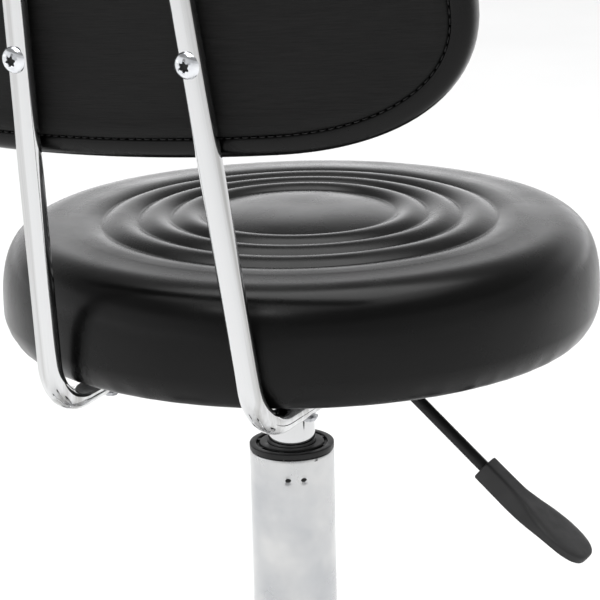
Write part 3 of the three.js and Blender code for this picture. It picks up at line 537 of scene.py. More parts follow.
def dust_sheet():
    """The felt under the seat: a thin sheet with a rough cut edge that hangs a little between its staples."""
    lo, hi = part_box("dust_cover")
    radius = (hi.x - lo.x) / 2
    count = 260
    rings = [0.0, 0.25, 0.5, 0.7, 0.85, 0.94, 0.98, 1.0]
    edge = 1 + 0.006 * np.sin(np.arange(count) * 0.61) + RNG.uniform(-0.004, 0.006, count)
    sag = 1.1 * MM * (0.5 + 0.5 * np.sin(np.arange(count) * 0.33)) + RNG.uniform(0, 0.5 * MM, count)
    verts, faces = [], []
    for side in (0, 1):
        for s in rings:
            for i in range(count):
                a = 2 * math.pi * i / count
                k = s * (edge[i] if s > 0.9 else 1)
                z = (hi.z - 0.2 * MM if side == 0 else lo.z) - sag[i] * max(0, (s - 0.85) / 0.15)
                verts.append((radius * k * math.cos(a), radius * k * math.sin(a), z))
    n = len(rings)
    faces += grid_faces(n, count)
    faces += [tuple(v + n * count for v in f) for f in grid_faces(n, count)]
    for i in range(count):
        j = (i + 1) % count
        a, b = (n - 1) * count, (2 * n - 1) * count
        faces.append((a + i, a + j, b + j, b + i))
    obj = add_object("dust_felt", verts, faces, LOOKS["felt"])
    face_out(obj, weld=1e-6)
    obj.data.shade_smooth()
    declare(obj, "felt", "seat", "dust_cover", at=Matrix.Translation((0, SEAT_Y, 0)))


# ---- Back tubes and their screws -----------------------------------------------------------------

TUBE_R = 6.5 * MM
# Heights are measured from the seat plane. The frame's lean, splay and roll all start from TUBE_REF.
TUBE_REF, TUBE_RUN, TUBE_CORNER, TUBE_TOP = -46, -71.3, -74.2, 226
TUBE_SPACING, TUBE_REAR, TUBE_BEND = 60.9, 157.7, 30

FRAME_PIVOT = Matrix.Translation((0, 0, SEAT_Z + TUBE_REF * MM))
FRAME = FRAME_PIVOT @ Matrix.Rotation(FRAME_ROLL, 4, "Y") @ FRAME_PIVOT.inverted()


def frame_point(x, z):
    """A point of the back frame at z above the seat plane (in millimetres), before the frame is rolled."""
    rise = z - TUBE_REF
    return FRAME @ Vector((x * MM, (TUBE_REAR + rise * math.tan(LEAN)) * MM, SEAT_Z + z * MM))


def spread(z):
    """How far a tube stands from the middle, at height z."""
    return TUBE_SPACING - (z - TUBE_REF) * math.tan(SPLAY)


def upright(side, z):
    return frame_point(side * spread(z), z)


def rounded_path(start, corner, end, radius, steps):
    """Two straight lines with a round bend between them."""
    to_start, to_end = (start - corner).normalized(), (end - corner).normalized()
    half = to_start.angle(to_end) / 2
    tangent = radius / math.tan(half)
    centre = corner + (to_start + to_end).normalized() * (radius / math.sin(half))
    first, last = corner + to_start * tangent - centre, corner + to_end * tangent - centre
    axis, turn = first.cross(last).normalized(), first.angle(last)
    bend = [Matrix.Rotation(turn * k / steps, 3, axis) @ first + centre for k in range(steps + 1)]
    line = lambda a, b, n: [a.lerp(b, k / n) for k in range(n)]
    return line(start, bend[0], 8) + bend + line(bend[-1], end, 16)[1:] + [end]


def back_tube(side, node):
    lo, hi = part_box(node)
    corner = upright(side, TUBE_CORNER)
    start = Vector((corner.x, lo.y, SEAT_Z + TUBE_RUN * MM))
    end = upright(side, TUBE_TOP)
    path = rounded_path(start, corner, end, TUBE_BEND * MM, 22)
    # The top end is spun to a dome.
    up = (end - corner).normalized()
    turns = np.linspace(0.15, math.pi / 2 - 0.02, 7)
    dome = [end + up * TUBE_R * 0.6 * math.sin(t) for t in turns]
    radii = [TUBE_R] * len(path) + [TUBE_R * math.cos(t) for t in turns]
    count = 40
    outer, faces = sweep(path + dome, radii, count, caps=False)
    rings = len(outer) // count
    faces = list(faces) + [tuple(range((rings - 1) * count, rings * count))]
    # The open front end: a cut wall and the bore behind it.
    bore = []
    for depth, r in ((0.0, TUBE_R - 1.4 * MM), (20 * MM, TUBE_R - 1.4 * MM), (20.5 * MM, 0.2 * MM)):
        for k in range(count):
            base = outer[k] - path[0]
            bore.append(path[0] + base.normalized() * r + Vector((0, depth, 0)))
    b = len(outer)
    verts = list(outer) + bore
    for i in range(count):
        j = (i + 1) % count
        faces.append((i, j, b + j, b + i))
        faces.append((b + i, b + j, b + count + j, b + count + i))
        faces.append((b + count + i, b + count + j, b + 2 * count + j, b + 2 * count + i))
    faces.append(tuple(range(b + 2 * count, b + 3 * count)))
    side_name = "left" if side > 0 else "right"
    # Its own axes follow the upright, so the streaks, partly drawing streaks and partly painted reflections, run
    # along it.
    at = Matrix.Translation(corner) @ up.to_track_quat("Z", "Y").to_matrix().to_4x4()
    shape = moved((verts, faces), at.inverted())
    return piece(f"chrome_tube_{side_name}", shape, "chrome", "seat", node, at=at, sharp=50, look="streaked_chrome_painted_reflection")


def button_screw(head_r, head_h, shank_r, length):
    """Head upwards on +Z with its seat at z = 0. The recess is a six-lobed socket."""
    count = 72
    lobe_r, chamfer = 2.9 * MM, 0.25 * MM
    levels = []
    for z in (head_h - 2.1 * MM, head_h - chamfer, head_h):
        wider = chamfer if z == head_h else 0
        levels.append((lambda a, wider=wider: lobe_r * (0.84 + 0.16 * math.cos(6 * a)) + wider, z))
    outer = [(head_r * math.cos(t), head_h * math.sin(t) ** 1.15) for t in np.linspace(math.radians(56), 0.12, 9)]
    outer += [(head_r, chamfer), (head_r - chamfer, 0.0), (shank_r, 0.0), (shank_r, -length)]
    levels += [(lambda a, r=r: r, z) for r, z in outer]
    verts = []
    for radius, z in levels:
        for i in range(count):
            a = 2 * math.pi * i / count
            verts.append((radius(a) * math.cos(a), radius(a) * math.sin(a), z))
    return verts, grid_faces(len(levels), count) + end_caps(len(levels), count)


BACK_BASE = 68.3
BACK = Matrix.Translation(frame_point(0, BACK_BASE)) @ Matrix.Rotation(FRAME_ROLL, 4, "Y")
BACK = BACK @ Matrix.Rotation(-LEAN, 4, "X")
PANEL_PIVOT = Matrix.Translation((0, 0, 119 * MM))
PANEL = BACK @ PANEL_PIVOT @ Matrix.Rotation(PANEL_ROLL, 4, "Y") @ PANEL_PIVOT.inverted()


def back_screws():
    places = [(side, v) for side in (-1, 1) for v in (54.7, 120)]
    shape = button_screw(7.0 * MM, 3.4 * MM, 2.5 * MM, 20 * MM)
    # Each screw gets a dark disc just above the bottom of its socket: painted shade in the recess.
    floor = revolve(in_mm([(0, 1.9), (2.7, 1.9), (2.75, 1.6), (0, 1.5)]), 24)
    socket_shade_discs = []
    for k, (side, v) in enumerate(places, 1):
        x = side * spread(BACK_BASE + v * math.cos(LEAN)) - 0.7
        at = BACK @ Matrix.Translation((x * MM, TUBE_R + 0.2 * MM, v * MM)) @ Matrix.Rotation(-math.pi / 2, 4, "X")
        at = at @ Matrix.Rotation(0.4 * k, 4, "Z")
        socket_shade_discs.append(moved(floor, at))
        piece(f"button_screw_{k}", shape, "chrome", "seat", f"back_screw_{k}", at=at, sharp=40, look="steel_bright")
    piece("screw_socket_painted_shade", merged(*socket_shade_discs), "chrome", "seat", sharp=30, look="black_steel")


# ---- Backrest ------------------------------------------------------------------------------------

BACK_W, BACK_H, BACK_CURVE, BACK_REAR = 190 * MM, 238 * MM, 789 * MM, -5.3 * MM


def outline(count):
    """Points round the backrest's outline, evenly spaced, anticlockwise from the middle of the lower edge."""
    w, h = BACK_W, BACK_H
    half = []

    def bezier(points):
        p = [np.array(q) for q in points]
        for t in np.linspace(0, 1, 60):
            left = p
            while len(left) > 1:
                left = [a * (1 - t) + b * t for a, b in zip(left, left[1:])]
            half.append(left[0])

    bezier([(0, 0), (w * 0.215, 0), (w * 0.43, 1.5 * MM)])
    bezier([(w * 0.43, 1.5 * MM), (w * 0.818, 4.3 * MM), (w, 33.5 * MM), (w, 70.6 * MM)])
    bezier([(w, 70.6 * MM), (w, h - 70.6 * MM)])
    bezier([(w, h - 70.6 * MM), (w, h - 33.5 * MM), (w * 0.818, h - 4.3 * MM), (w * 0.43, h - 1.5 * MM)])
    bezier([(w * 0.43, h - 1.5 * MM), (w * 0.215, h), (0, h)])
    half = np.array(half)
    ring = np.concatenate([half, (half * [-1, 1])[::-1]])
    step = np.linalg.norm(np.diff(ring, axis=0), axis=1)
    keep = np.concatenate([[True], step > 1e-7])
    ring = ring[keep]
    along = np.concatenate([[0], np.cumsum(np.linalg.norm(np.diff(ring, axis=0), axis=1))])
    at = np.linspace(0, along[-1], count, endpoint=False)
    return np.stack([np.interp(at, along, ring[:, 0]), np.interp(at, along, ring[:, 1])], 1)


def inset(ring, distance):
    """The outline moved inwards by a distance."""
    t = np.roll(ring, -1, 0) - np.roll(ring, 1, 0)
    t /= np.linalg.norm(t, axis=1)[:, None]
    return ring + np.stack([-t[:, 1], t[:, 0]], 1) * distance


def bend_point(u, v, w):
    """Wraps flat points (u across, v up, w out of the rear face) onto the backrest's curve."""
    a = u / BACK_CURVE
    r = BACK_CURVE - w
    return np.stack([r * np.sin(a), BACK_REAR - BACK_CURVE + r * np.cos(a), v], -1)


def smooth_rows(rows, per=6):
    """Rows of numbers with more rows between them, on a smooth curve through them."""
    rows = np.array(rows, float)
    out = []
    for k in range(len(rows) - 1):
        p0, p1, p2, p3 = rows[max(k - 1, 0)], rows[k], rows[k + 1], rows[min(k + 2, len(rows) - 1)]
        for t in np.linspace(0, 1, per, endpoint=False):
            out.append(0.5 * (2 * p1 + (p2 - p0) * t + (2 * p0 - 5 * p1 + 4 * p2 - p3) * t ** 2
                              + (3 * p1 - p0 - 3 * p2 + p3) * t ** 3))
    out.append(rows[-1])
    return np.array(out)


def outline_solid(rows, count):
    """Sweeps rows of [inset mm, depth mm, scale] round the outline. A scale of 0 is one point."""
    ring = outline(count)
    middle = np.array([0, BACK_H / 2])
    verts, rings = [], []
    for d, w, s in rows:
        if s < 1e-6:
            rings.append([len(verts)] * count)
            verts.append(bend_point(np.array([0.0]), np.array([BACK_H / 2]), w * MM)[0])
            continue
        q = (inset(ring, d * MM) - middle) * s + middle
        rings.append(list(range(len(verts), len(verts) + count)))
        verts.extend(bend_point(q[:, 0], q[:, 1], w * MM))
    return verts, strip_faces(rings)


def back_front():
    """The front cushion and its wrapped edge, from the seam at the rear round to the middle of the front."""
    count = 200
    rows = [
        [15.4, 3.6, 1], [12.0, 1.6, 1], [10.9, 0.0, 1], [8.4, -0.4, 1], [4.6, 0.5, 1], [1.4, 3.2, 1], [0.0, 8, 1],
        [0.0, 15, 1], [1.6, 23, 1], [5.0, 30, 1], [11, 35.6, 1], [19, 38.8, 1],
    ]
    rows = smooth_rows(rows, 3)
    inner = [[19, 38.8 + 4.2 * (1 - s ** 2.4), s] for s in np.linspace(0.94, 0, 22)]
    rows = list(rows) + inner
    verts, faces = outline_solid(rows, count)
    co = np.array(verts)
    # The front is free to swell, from the turn of its edge to a small circle in the middle.
    first = 26
    free = co[:len(co) - 1].reshape(-1, count, 3)[first:]
    pins = np.zeros(len(free))
    pins[:4] = 1.0
    pins[-1] = 1.0
    moves = softened(inflate(free, count, pins, pressure=6.0, cap=4 * MM, step=(1, 2)), 10)
    reach = np.linalg.norm(free - free[-1:].mean(1, keepdims=True), axis=2).mean(1) / MM
    free += moves * smoothstep(40, 120, reach)[:, None, None]
    obj = add_object("backrest_cushion", co, faces, LOOKS["seat_vinyl"])
    face_out(obj)
    declare(obj, "seat_vinyl", "seat", "back_cover", "back_foam", at=PANEL)


def back_rear():
    """The rear panel: a shallow padded sheet with a raised welt inside its seam."""
    count = 260
    rows = [
        [14.8, 3.6, 1], [12.2, 2.4, 1], [12.0, 1.0, 1], [12.6, -0.2, 1], [14.0, -1.2, 1], [16.0, -1.8, 1],
        [18.6, -1.9, 1], [21.4, -1.3, 1], [24.5, -0.6, 1], [29, -0.2, 1], [36, -0.1, 1],
    ]
    rows = list(smooth_rows(rows, 4)) + [[36, -0.1 - 0.5 * (1 - s), s] for s in np.linspace(0.93, 0, 16)]
    verts, faces = outline_solid(rows, count)
    obj = add_object("backrest_rear_panel", verts, faces, LOOKS["back_fabric"])
    co = np.array(verts)
    # The sheet is a little slack: low, wide waves, flat where the tubes press on it.
    free = 1 - np.exp(-((np.abs(co[:, 0]) - 50 * MM) / (16 * MM)) ** 2)
    wave = np.sin(co[:, 0] * 41 + 1.3) * np.sin(co[:, 2] * 57 + 0.4) + 0.6 * np.sin(co[:, 0] * 23 + co[:, 2] * 71)
    co[:, 1] += 0.22 * MM * wave * free
    obj.data.vertices.foreach_set("co", co.ravel())
    face_out(obj)
    declare(obj, "back_fabric", "seat", "back_rear_panel", at=PANEL)


def back_seam():
    """Lock stitches sunk in the seam round the rear panel."""
    ring = inset(outline(1500), 11.6 * MM)
    along = np.concatenate([[0], np.cumsum(np.linalg.norm(np.diff(ring, axis=0), axis=1))])
    total = along[-1]
    number = int(total / (4.6 * MM))
    parts = []
    for k in range(number):
        ts = np.linspace(k + 0.14, k + 0.86, 6) * total / number
        u, v = np.interp(ts, along, ring[:, 0]), np.interp(ts, along, ring[:, 1])
        w = np.array([1.1, 0.35, 0.1, 0.1, 0.35, 1.1]) * MM
        pts = bend_point(u, v, w)
        parts.append(sweep([tuple(p) for p in pts], 0.3 * MM, 6))
    obj = add_object("backrest_stitches", *merged(*parts), LOOKS["thread"])
    declare(obj, "back_fabric", "seat", at=PANEL)


# ---- Lever ---------------------------------------------------------------------------------------

LEVER_Z = SEAT_Z - 72.8 * MM
LEVER_SLOPE = math.radians(40.1)
LEVER_CORNER = Vector((-53.9 * MM, 0, LEVER_Z))
LEVER_DOWN = Vector((-math.cos(LEVER_SLOPE), 0, -math.sin(LEVER_SLOPE)))


def lever():
    lo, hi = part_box("lever_rod")
    start = Vector((hi.x, 0, LEVER_Z))
    end = LEVER_CORNER + LEVER_DOWN * 116 * MM
    path = rounded_path(start, LEVER_CORNER, end, 12 * MM, 10)
    piece("lever_bar", sweep(path, 3.5 * MM, 32), "black_steel", "lever", "lever_rod", sharp=50)
    # Sections of the grip along its length: [x, half width, half thickness, height of the middle].
    rows = [
        [0.0, 5.6, 5.6, 0.0], [0.35, 6.1, 6.1, 0.0], [1.2, 6.35, 6.35, 0.0], [8, 6.45, 6.35, 0.0],
        [18, 6.6, 6.35, 0.0], [25, 7.2, 6.2, 0.1], [31, 8.7, 5.9, 0.7], [37, 10.9, 5.2, 1.5], [43, 13.1, 4.4, 2.6],
        [50, 14.5, 3.75, 3.7], [57, 15.1, 3.4, 4.5], [64, 14.5, 3.3, 5.0], [69.5, 12.9, 3.2, 5.4],
        [73.5, 10.2, 3.0, 5.65], [75.9, 7.0, 2.6, 5.75], [76.8, 4.0, 1.9, 5.8], [77.0, 1.2, 0.7, 5.8],
    ]
    rows = smooth_rows(rows, 3)
    count = 64
    verts = []
    for x, hw, ht, lift in rows:
        power = 0.24 + 0.2 * float(smoothstep(20, 60, np.array(x)))
        for i in range(count):
            a = 2 * math.pi * i / count
            c, s = math.cos(a), math.sin(a)
            verts.append((
                x * MM,
                max(hw, 0.3) * MM * math.copysign(abs(c) ** power, c),
                (lift + max(ht, 0.3) * math.copysign(abs(s) ** power, s)) * MM,
            ))
    faces = grid_faces(len(rows), count) + end_caps(len(rows), count)
    across = Vector((0, -1, 0))
    up = LEVER_DOWN.cross(across)
    origin = LEVER_CORNER + LEVER_DOWN * 91 * MM
    at = Matrix((LEVER_DOWN, across, up)).transposed().to_4x4()
    at.translation = origin
    piece("lever_paddle", (verts, faces), "grey_plastic", "lever", "lever_grip", at=at, sharp=55)


# ---- Column and gas lift -------------------------------------------------------------------------

def column():
    lo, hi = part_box("column_tube")
    r, z0, z1 = 25 * MM, lo.z, hi.z
    hub, wall, dimple_z = 110 * MM, 1.5 * MM, z1 - 12.4 * MM
    profile = [
        (7 * MM, z0), (r - 1.6 * MM, z0), (r - 1.1 * MM, z0 + 0.5 * MM), (r, hub), (r, z1 - 0.5 * MM),
        (r - 0.3 * MM, z1 - 0.1 * MM), (r - 0.7 * MM, z1), (r - wall, z1), (r - wall, hub),
        (r - 2.6 * MM, z0 + 2.5 * MM), (7 * MM, z0 + 2.5 * MM),
    ]
    rows = []
    for (ra, za), (rb, zb) in zip(profile, profile[1:] + profile[:1]):
        n = max(1, int(abs(zb - za) / (2 * MM))) if abs(ra - rb) < 2 * MM else 1
        if za < hub:
            n = min(n, 6)
        rows += [(ra + (rb - ra) * k / n, za + (zb - za) * k / n) for k in range(n)]
    verts, faces = revolve(rows, 160, closed=True)
    co = np.array(verts)
    # Three pairs of punched dimples below the collar, given as angles, hold the guide sleeve inside.
    angle = np.arctan2(co[:, 1], co[:, 0])
    radius = np.hypot(co[:, 0], co[:, 1])
    dimple_shade_spots = []
    for centre in (112, 134, 232, 254, -8, 14):
        d = np.angle(np.exp(1j * (angle - math.radians(centre)))) * r
        dz = co[:, 2] - dimple_z
        hollow = np.exp(-((d / (2.1 * MM)) ** 2 + (dz / (1.6 * MM)) ** 2) ** 1.5)
        radius = radius - 1.5 * MM * hollow
        # Each dimple also gets a dark oval spot in its bottom: painted shade in the hollow.
        spot = revolve(in_mm([(0, 0.25), (1.0, 0.2), (1.65, 0), (1.2, -0.25), (0, -0.3)]), 20)
        turn = Matrix.Rotation(math.radians(centre), 4, "Z") @ Matrix.Translation((r - 0.85 * MM, 0, dimple_z))
        turn = turn @ Matrix.Diagonal((1, 1.15, 0.85, 1)) @ Matrix.Rotation(math.pi / 2, 4, "Y")
        dimple_shade_spots.append(moved(spot, turn))
    k = radius / np.maximum(np.hypot(co[:, 0], co[:, 1]), 1e-9)
    co[:, 0] *= k
    co[:, 1] *= k
    piece("column_sleeve", (co, faces), "satin_chrome", "base", "column_tube", sharp=40)
    piece("sleeve_dimple_painted_shade", merged(*dimple_shade_spots), "satin_chrome", "base", sharp=60, look="black_steel")

    lo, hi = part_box("column_bush")
    z0, z1 = lo.z, hi.z
    top = hi.z - 3.4 * MM
    profile = rounded([(r * MM, z) for r, z in (
        (14.3, z0), (23.2, z0), (23.2, top), (25.0, top), (25.0, z1), (21.3, z1), (21.1, z1 - 1.5 * MM),
        (19.1, z1 - 1.5 * MM), (18.9, z1 + 0.3 * MM), (14.3, z1 + 0.3 * MM),
    )], 0.5 * MM)
    piece("column_collar", revolve(profile, 128, closed=True), "black_plastic", "base", "column_bush", sharp=60)
    # Small keys across the collar's groove.
    keys = []
    for k in range(8):
        a = math.radians(k * 45 + 10)
        box = []
        for du in (-0.07, 0.07):
            for rr in (19.0 * MM, 21.2 * MM):
                for zz in (z1 - 1.6 * MM, z1 - 0.5 * MM):
                    box.append((rr * math.cos(a + du), rr * math.sin(a + du), zz))
        keys.append((box, [(0, 1, 3, 2), (4, 6, 7, 5), (0, 4, 5, 1), (2, 3, 7, 6), (0, 2, 6, 4), (1, 5, 7, 3)]))
    piece("collar_keys", merged(*keys), "black_plastic", "base", sharp=30)

    lo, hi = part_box("gas_cylinder")
    z0, z1 = lo.z, hi.z
    taper = SEAT_Z - 132 * MM
    profile = [(r * MM, z) for r, z in (
        (12.4, z0), (13.4, z0), (14, z0 + 0.8 * MM), (14, taper - 60 * MM), (14, taper), (13.02, z1 - 0.7 * MM),
        (12.4, z1), (3.8, z1), (3.8, z1 - 17 * MM), (12.4, z1 - 17 * MM),
    )]
    piece("lift_cylinder", revolve(profile, 96, closed=True), "satin_chrome", "seat", "gas_cylinder", sharp=40,
          look="chrome")


# ---- Base ----------------------------------------------------------------------------------------

def leg_sections():
    """[distance out, half width, top, bottom of the side walls] in millimetres."""
    rows = [
        [26, 18.6, 107.2, 64.5], [40, 18.0, 106.6, 65.2], [60, 17.3, 105.0, 66.2], [90, 16.6, 101.8, 67.0],
        [125, 15.6, 97.4, 67.2], [165, 14.6, 92.2, 65.2], [200, 13.8, 87.0, 63.0], [222, 13.4, 83.6, 61.6],
    ]
    return smooth_rows(rows, 4)


def leg_shape():
    """A pressed leg along +Y: rounded shoulders, a shallow crown on top and an open channel below."""
    verts = []
    outer_n, count, wall = 29, 0, 3
    shoulder = 0.72  # where the side wall ends, as a share of the way round and of the height
    for y, hw, top, low in leg_sections():
        section = []
        height = top - low
        for k in range(outer_n):
            t = k / (outer_n - 1) * 2 - 1
            a = abs(t)
            if a > shoulder:
                s = (a - shoulder) / (1 - shoulder)
                x, z = hw * (0.90 + 0.10 * min(1, s)), low + height * shoulder * (1 - s)
            else:
                b = a / shoulder * math.pi / 2
                x = hw * 0.90 * math.sin(b) ** 0.62
                z = low + height * (shoulder + (1 - shoulder) * math.cos(b) ** 0.75)
            section.append((math.copysign(x, t) if a > 1e-9 else 0.0, z))
        inner = []
        for x, z in reversed(section):
            inner.append((x * (hw - wall) / hw, max(low, min(z - wall, top - wall)) if z > low + 0.5 else low))
        ring = section + inner
        count = len(ring)
        verts += [(x * MM, y * MM, z * MM) for x, z in ring]
    rings = len(verts) // count
    faces = grid_faces(rings, count)
    for start in (0, (rings - 1) * count):
        for k in range(outer_n - 1):
            faces.append((start + k, start + k + 1, start + count - 2 - k, start + count - 1 - k))
    return verts, faces


def base():
    reach = 232 * MM
    hub = rounded(in_mm([
        (25.3, 112), (25.3, 111), (24.2, 58), (24.2, 56), (32.6, 56), (33.8, 60), (32.2, 102), (30.4, 108.5),
        (28.2, 112),
    ]), 1.2 * MM)
    parts = [revolve(hub, 120, closed=True)]
    leg = leg_shape()
    boss = rounded(in_mm([
        (5.8, 79), (5.8, 60.2), (14.6, 60.2), (15, 62), (15, 76), (13.6, 81.6), (9.5, 83.6), (0.4, 84), (0.4, 79),
    ]), 1.4 * MM)
    boss_shape = moved(revolve(boss, 64, closed=True), Matrix.Translation((0, reach, 0)))
    for k in range(5):
        turn = Matrix.Rotation(math.pi + 2 * math.pi * k / 5, 4, "Z")
        parts += [moved(leg, turn), moved(boss_shape, turn)]
    piece("base_casting", merged(*parts), "chrome", "base", "base_star", sharp=42)


def caster_shapes():
    """The housing's outer and inner outlines in YZ, how far the axle trails the stem, and the axle's height."""
    trail = 24 * MM
    lo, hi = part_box("caster_1_axle")
    axle_z = (lo.z + hi.z) / 2

    def arc(radius, start, end, steps):
        angles = [math.radians(start + (end - start) * k / steps) for k in range(steps + 1)]
        return [(trail + radius * math.cos(a), axle_z + radius * math.sin(a)) for a in angles]

    outer = arc(28.6 * MM, 10, 92, 16) + in_mm([
        (19, 54.6), (14.5, 56.4), (10.5, 57.3), (6, 57.6), (-5, 57.6), (-8.4, 56.6), (-9.8, 54), (-9.8, 46),
        (-7.6, 38), (-4.4, 31)])
    inner = arc(26.4 * MM, 169, 10, 26)
    return outer, inner, trail, axle_z


def slab_x(points, half, bevel):
    """A polygon in YZ made solid along X, with its long edges rounded over."""
    verts, levels = [], []
    pts = np.array(points)
    centre_shift = [(half, bevel), (half - 0.3 * bevel, 0.3 * bevel), (half - bevel, 0.0)]
    t = np.roll(pts, -1, 0) - np.roll(pts, 1, 0)
    t /= np.maximum(np.linalg.norm(t, axis=1), 1e-9)[:, None]
    normal = np.stack([t[:, 1], -t[:, 0]], 1)
    area = np.sum(pts[:, 0] * np.roll(pts[:, 1], -1) - np.roll(pts[:, 0], -1) * pts[:, 1])
    if area < 0:
        normal = -normal
    sections = [(-x, d) for x, d in centre_shift] + [(x, d) for x, d in reversed(centre_shift)]
    for x, d in sections:
        q = pts - normal * d
        verts += [(x, y, z) for y, z in q]
    return verts, grid_faces(len(sections), len(pts)) + end_caps(len(sections), len(pts))


def casters():
    outer, inner, trail, axle_z = caster_shapes()
    hood = slab_x(outer + inner, 21.6 * MM, 1.0 * MM)
    web_points = []
    for radius, start, steps in ((27.2, 4, 24), (9, 184, 12)):
        for k in range(steps + 1):
            a = math.radians(start + 172 * k / steps)
            web_points.append((trail + radius * MM * math.cos(a), axle_z + radius * MM * math.sin(a)))
    housing = merged(hood, slab_x(web_points, 4.7 * MM, 0.4 * MM))
    r = axle_z
    wheel_profile = rounded([
        (3.3 * MM, 5.2 * MM), (r - 3 * MM, 5.2 * MM), (r - 0.8 * MM, 6.0 * MM), (r, 7.4 * MM), (r, 19.4 * MM),
        (r - 0.8 * MM, 21.2 * MM), (r - 2.2 * MM, 22.1 * MM), (18.4 * MM, 22.1 * MM), (17.2 * MM, 20.2 * MM),
        (8.2 * MM, 19.6 * MM), (7.2 * MM, 21.0 * MM), (0.3 * MM, 21.3 * MM), (0.3 * MM, 20.7 * MM),
        (3.3 * MM, 20.7 * MM),
    ], 0.7 * MM, 3)
    wheel = revolve(wheel_profile, 96, closed=True)
    for k in range(1, 6):
        lo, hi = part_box(f"caster_{k}_stem")
        x, y = (lo.x + hi.x) / 2, (lo.y + hi.y) / 2
        piece(f"caster_{k}_hood", housing, "black_plastic", f"caster_{k}_fork", f"caster_{k}_housing",
              at=Matrix.Translation((x, y, 0)), sharp=38)
        for side, turn in (("left", 1), ("right", -1)):
            at = Matrix.Translation((x, y + trail, axle_z)) @ Matrix.Rotation(turn * math.pi / 2, 4, "Y")
            piece(f"caster_{k}_tyre_{side}", wheel, "wheel_plastic", f"caster_{k}_{side}",
                  f"caster_{k}_wheel_{side}", at=at, sharp=50)


# ---- Carried-over frame pieces -------------------------------------------------------------------

def dress_frame():
    slots = {s["node"]: s["material_slot"] for s in frame["record"]["subparts"]}
    for name, obj in NODES.items():
        obj.data.materials.clear()
        obj.data.materials.append(LOOKS[slots[name]])


# ---- Studio --------------------------------------------------------------------------------------

def fill(ramp, stops, blue=1.0):
    """Sets a ramp's greys. Those between the ends have their blue multiplied."""
    for element, (at, grey) in zip((ramp.elements[0], ramp.elements[1]), (stops[0], stops[-1])):
        element.position = at
        element.color = (grey, grey, grey, 1)
    for at, grey in stops[1:-1]:
        ramp.elements.new(at).color = (grey, grey, grey * blue, 1)


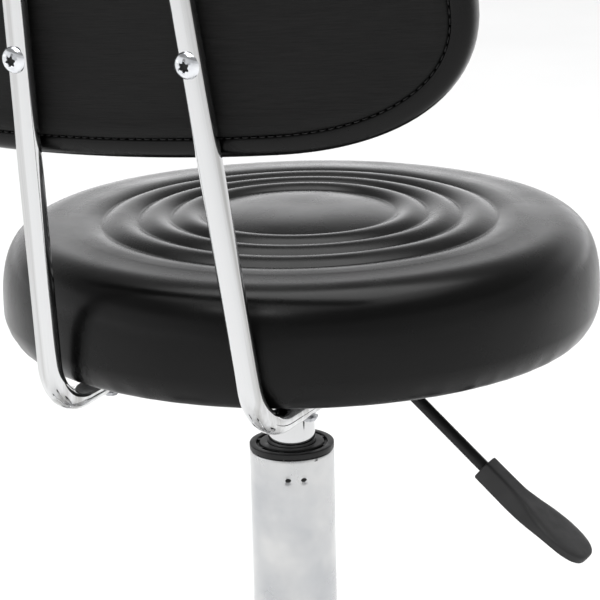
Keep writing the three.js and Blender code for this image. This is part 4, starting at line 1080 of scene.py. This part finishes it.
def studio():
    """A pale floor, a white room that is dimmer behind the camera, and two soft lights overhead."""
    world = bpy.data.worlds.new("studio")
    bpy.context.scene.world = world
    world.use_nodes = True
    tree = world.node_tree
    link = tree.links.new
    back = tree.nodes["Background"]
    coords = tree.nodes.new("ShaderNodeTexCoord")
    around = tree.nodes.new("ShaderNodeTexGradient")
    around.gradient_type = "RADIAL"
    walls = tree.nodes.new("ShaderNodeValToRGB")
    link(coords.outputs["Generated"], around.inputs["Vector"])
    link(around.outputs["Fac"], walls.inputs["Fac"])
    # Round the walls: 0.33 is straight ahead of the camera, 0.83 is behind it.
    fill(walls.color_ramp, [
        (0.0, 0.62), (0.075, 0.42), (0.115, 0.45), (0.165, 0.45), (0.205, 1.1), (0.33, 1.45), (0.42, 1.1),
        (0.455, 0.6), (0.485, 0.6), (0.53, 0.95), (0.66, 0.85), (0.76, 0.55), (0.83, 0.48), (0.9, 0.55),
        (1.0, 0.62)], blue=1.01)
    split = tree.nodes.new("ShaderNodeSeparateXYZ")
    link(coords.outputs["Generated"], split.inputs[0])
    height = tree.nodes.new("ShaderNodeMapRange")
    height.interpolation_type = "SMOOTHSTEP"
    height.inputs["From Min"].default_value, height.inputs["From Max"].default_value = 0.3, 0.6
    link(split.outputs["Z"], height.inputs["Value"])
    mix = tree.nodes.new("ShaderNodeMix")
    mix.data_type = "RGBA"
    link(height.outputs["Result"], mix.inputs["Factor"])
    link(walls.outputs["Color"], mix.inputs["A"])
    mix.inputs["B"].default_value = (1, 1, 1, 1)
    link(mix.outputs["Result"], back.inputs["Color"])
    # Up from the horizon: a pale wall, a dimmer band above it, and a bright ceiling.
    rise = tree.nodes.new("ShaderNodeValToRGB")
    rise.color_ramp.interpolation = "EASE"
    link(split.outputs["Z"], rise.inputs["Fac"])
    fill(rise.color_ramp, [
        (0.0, 0.85), (0.05, 0.7), (0.12, 0.5), (0.33, 0.5), (0.47, 0.14), (0.76, 0.14), (0.9, 0.95)])
    power = tree.nodes.new("ShaderNodeMath")
    power.operation = "MULTIPLY"
    power.inputs[1].default_value = 2.1
    link(rise.outputs["Color"], power.inputs[0])
    link(power.outputs[0], back.inputs["Strength"])

    floor_look = Look("studio_floor", (0.93, 0.93, 0.93), 0.9, Specular_IOR_Level=0.1)
    floor_look.colour(floor_look.noise(3, 2), (0.93, 0.93, 0.93), (0.95, 0.95, 0.95))
    size = 14
    floor = add_object("floor", [(-size, -size, 0), (size, -size, 0), (size, size, 0), (-size, size, 0)],
                       [(0, 1, 2, 3)], floor_look.mat, smooth=False)

    def area(name, place, target, width, height, power):
        data = bpy.data.lights.new(name, "AREA")
        data.shape = "RECTANGLE"
        data.size, data.size_y = width, height
        data.energy = power
        light = bpy.data.objects.new(name, data)
        light.location = place
        light.rotation_euler = (Vector(target) - Vector(place)).to_track_quat("-Z", "Y").to_euler()
        bpy.context.scene.collection.objects.link(light)

    area("overhead", (0.2, -0.4, 3.4), (0.2, -0.4, 0), 2.6, 2.6, 40)
    area("shoulder_light", (-0.1, 1.6, 2.3), (0, 0, 0.45), 0.9, 0.35, 6)
    bpy.context.scene.view_settings.view_transform = "Standard"


def camera():
    """Placed about the seat's middle: behind the stool and to one side, looking slightly down."""
    azimuth = math.radians(208.04)
    right = Vector((math.cos(azimuth), math.sin(azimuth), 0))
    away = Vector((-math.sin(azimuth), math.cos(azimuth), 0))
    seat = Vector((0, SEAT_Y, SEAT_Z))
    distance, height = 1.300, 0.3176
    place = seat - away * distance + Vector((0, 0, height))

    def direction(x, y, z):
        return right * x + away * y + Vector((0, 0, z))

    ahead = direction(-0.000759, 0.962001, -0.273045).normalized()
    level = direction(0.999999, 0.000789, 0.0).normalized()
    up = level.cross(ahead)
    roll = math.radians(-1.27)
    x_axis = level * math.cos(roll) + up * math.sin(roll)
    y_axis = up * math.cos(roll) - level * math.sin(roll)
    data = bpy.data.cameras.new("camera")
    data.sensor_width = 36
    data.lens = 138.0
    data.clip_end = 60
    cam = bpy.data.objects.new("camera", data)
    matrix = Matrix((x_axis, y_axis, -ahead)).transposed().to_4x4()
    matrix.translation = place
    cam.matrix_world = matrix
    bpy.context.scene.collection.objects.link(cam)
    bpy.context.scene.camera = cam


dress_frame()
seat_cushion()
dust_sheet()
back_tube(1, "back_tube_left")
back_tube(-1, "back_tube_right")
back_screws()
back_front()
back_rear()
back_seam()
lever()
column()
base()
casters()
studio()
camera()
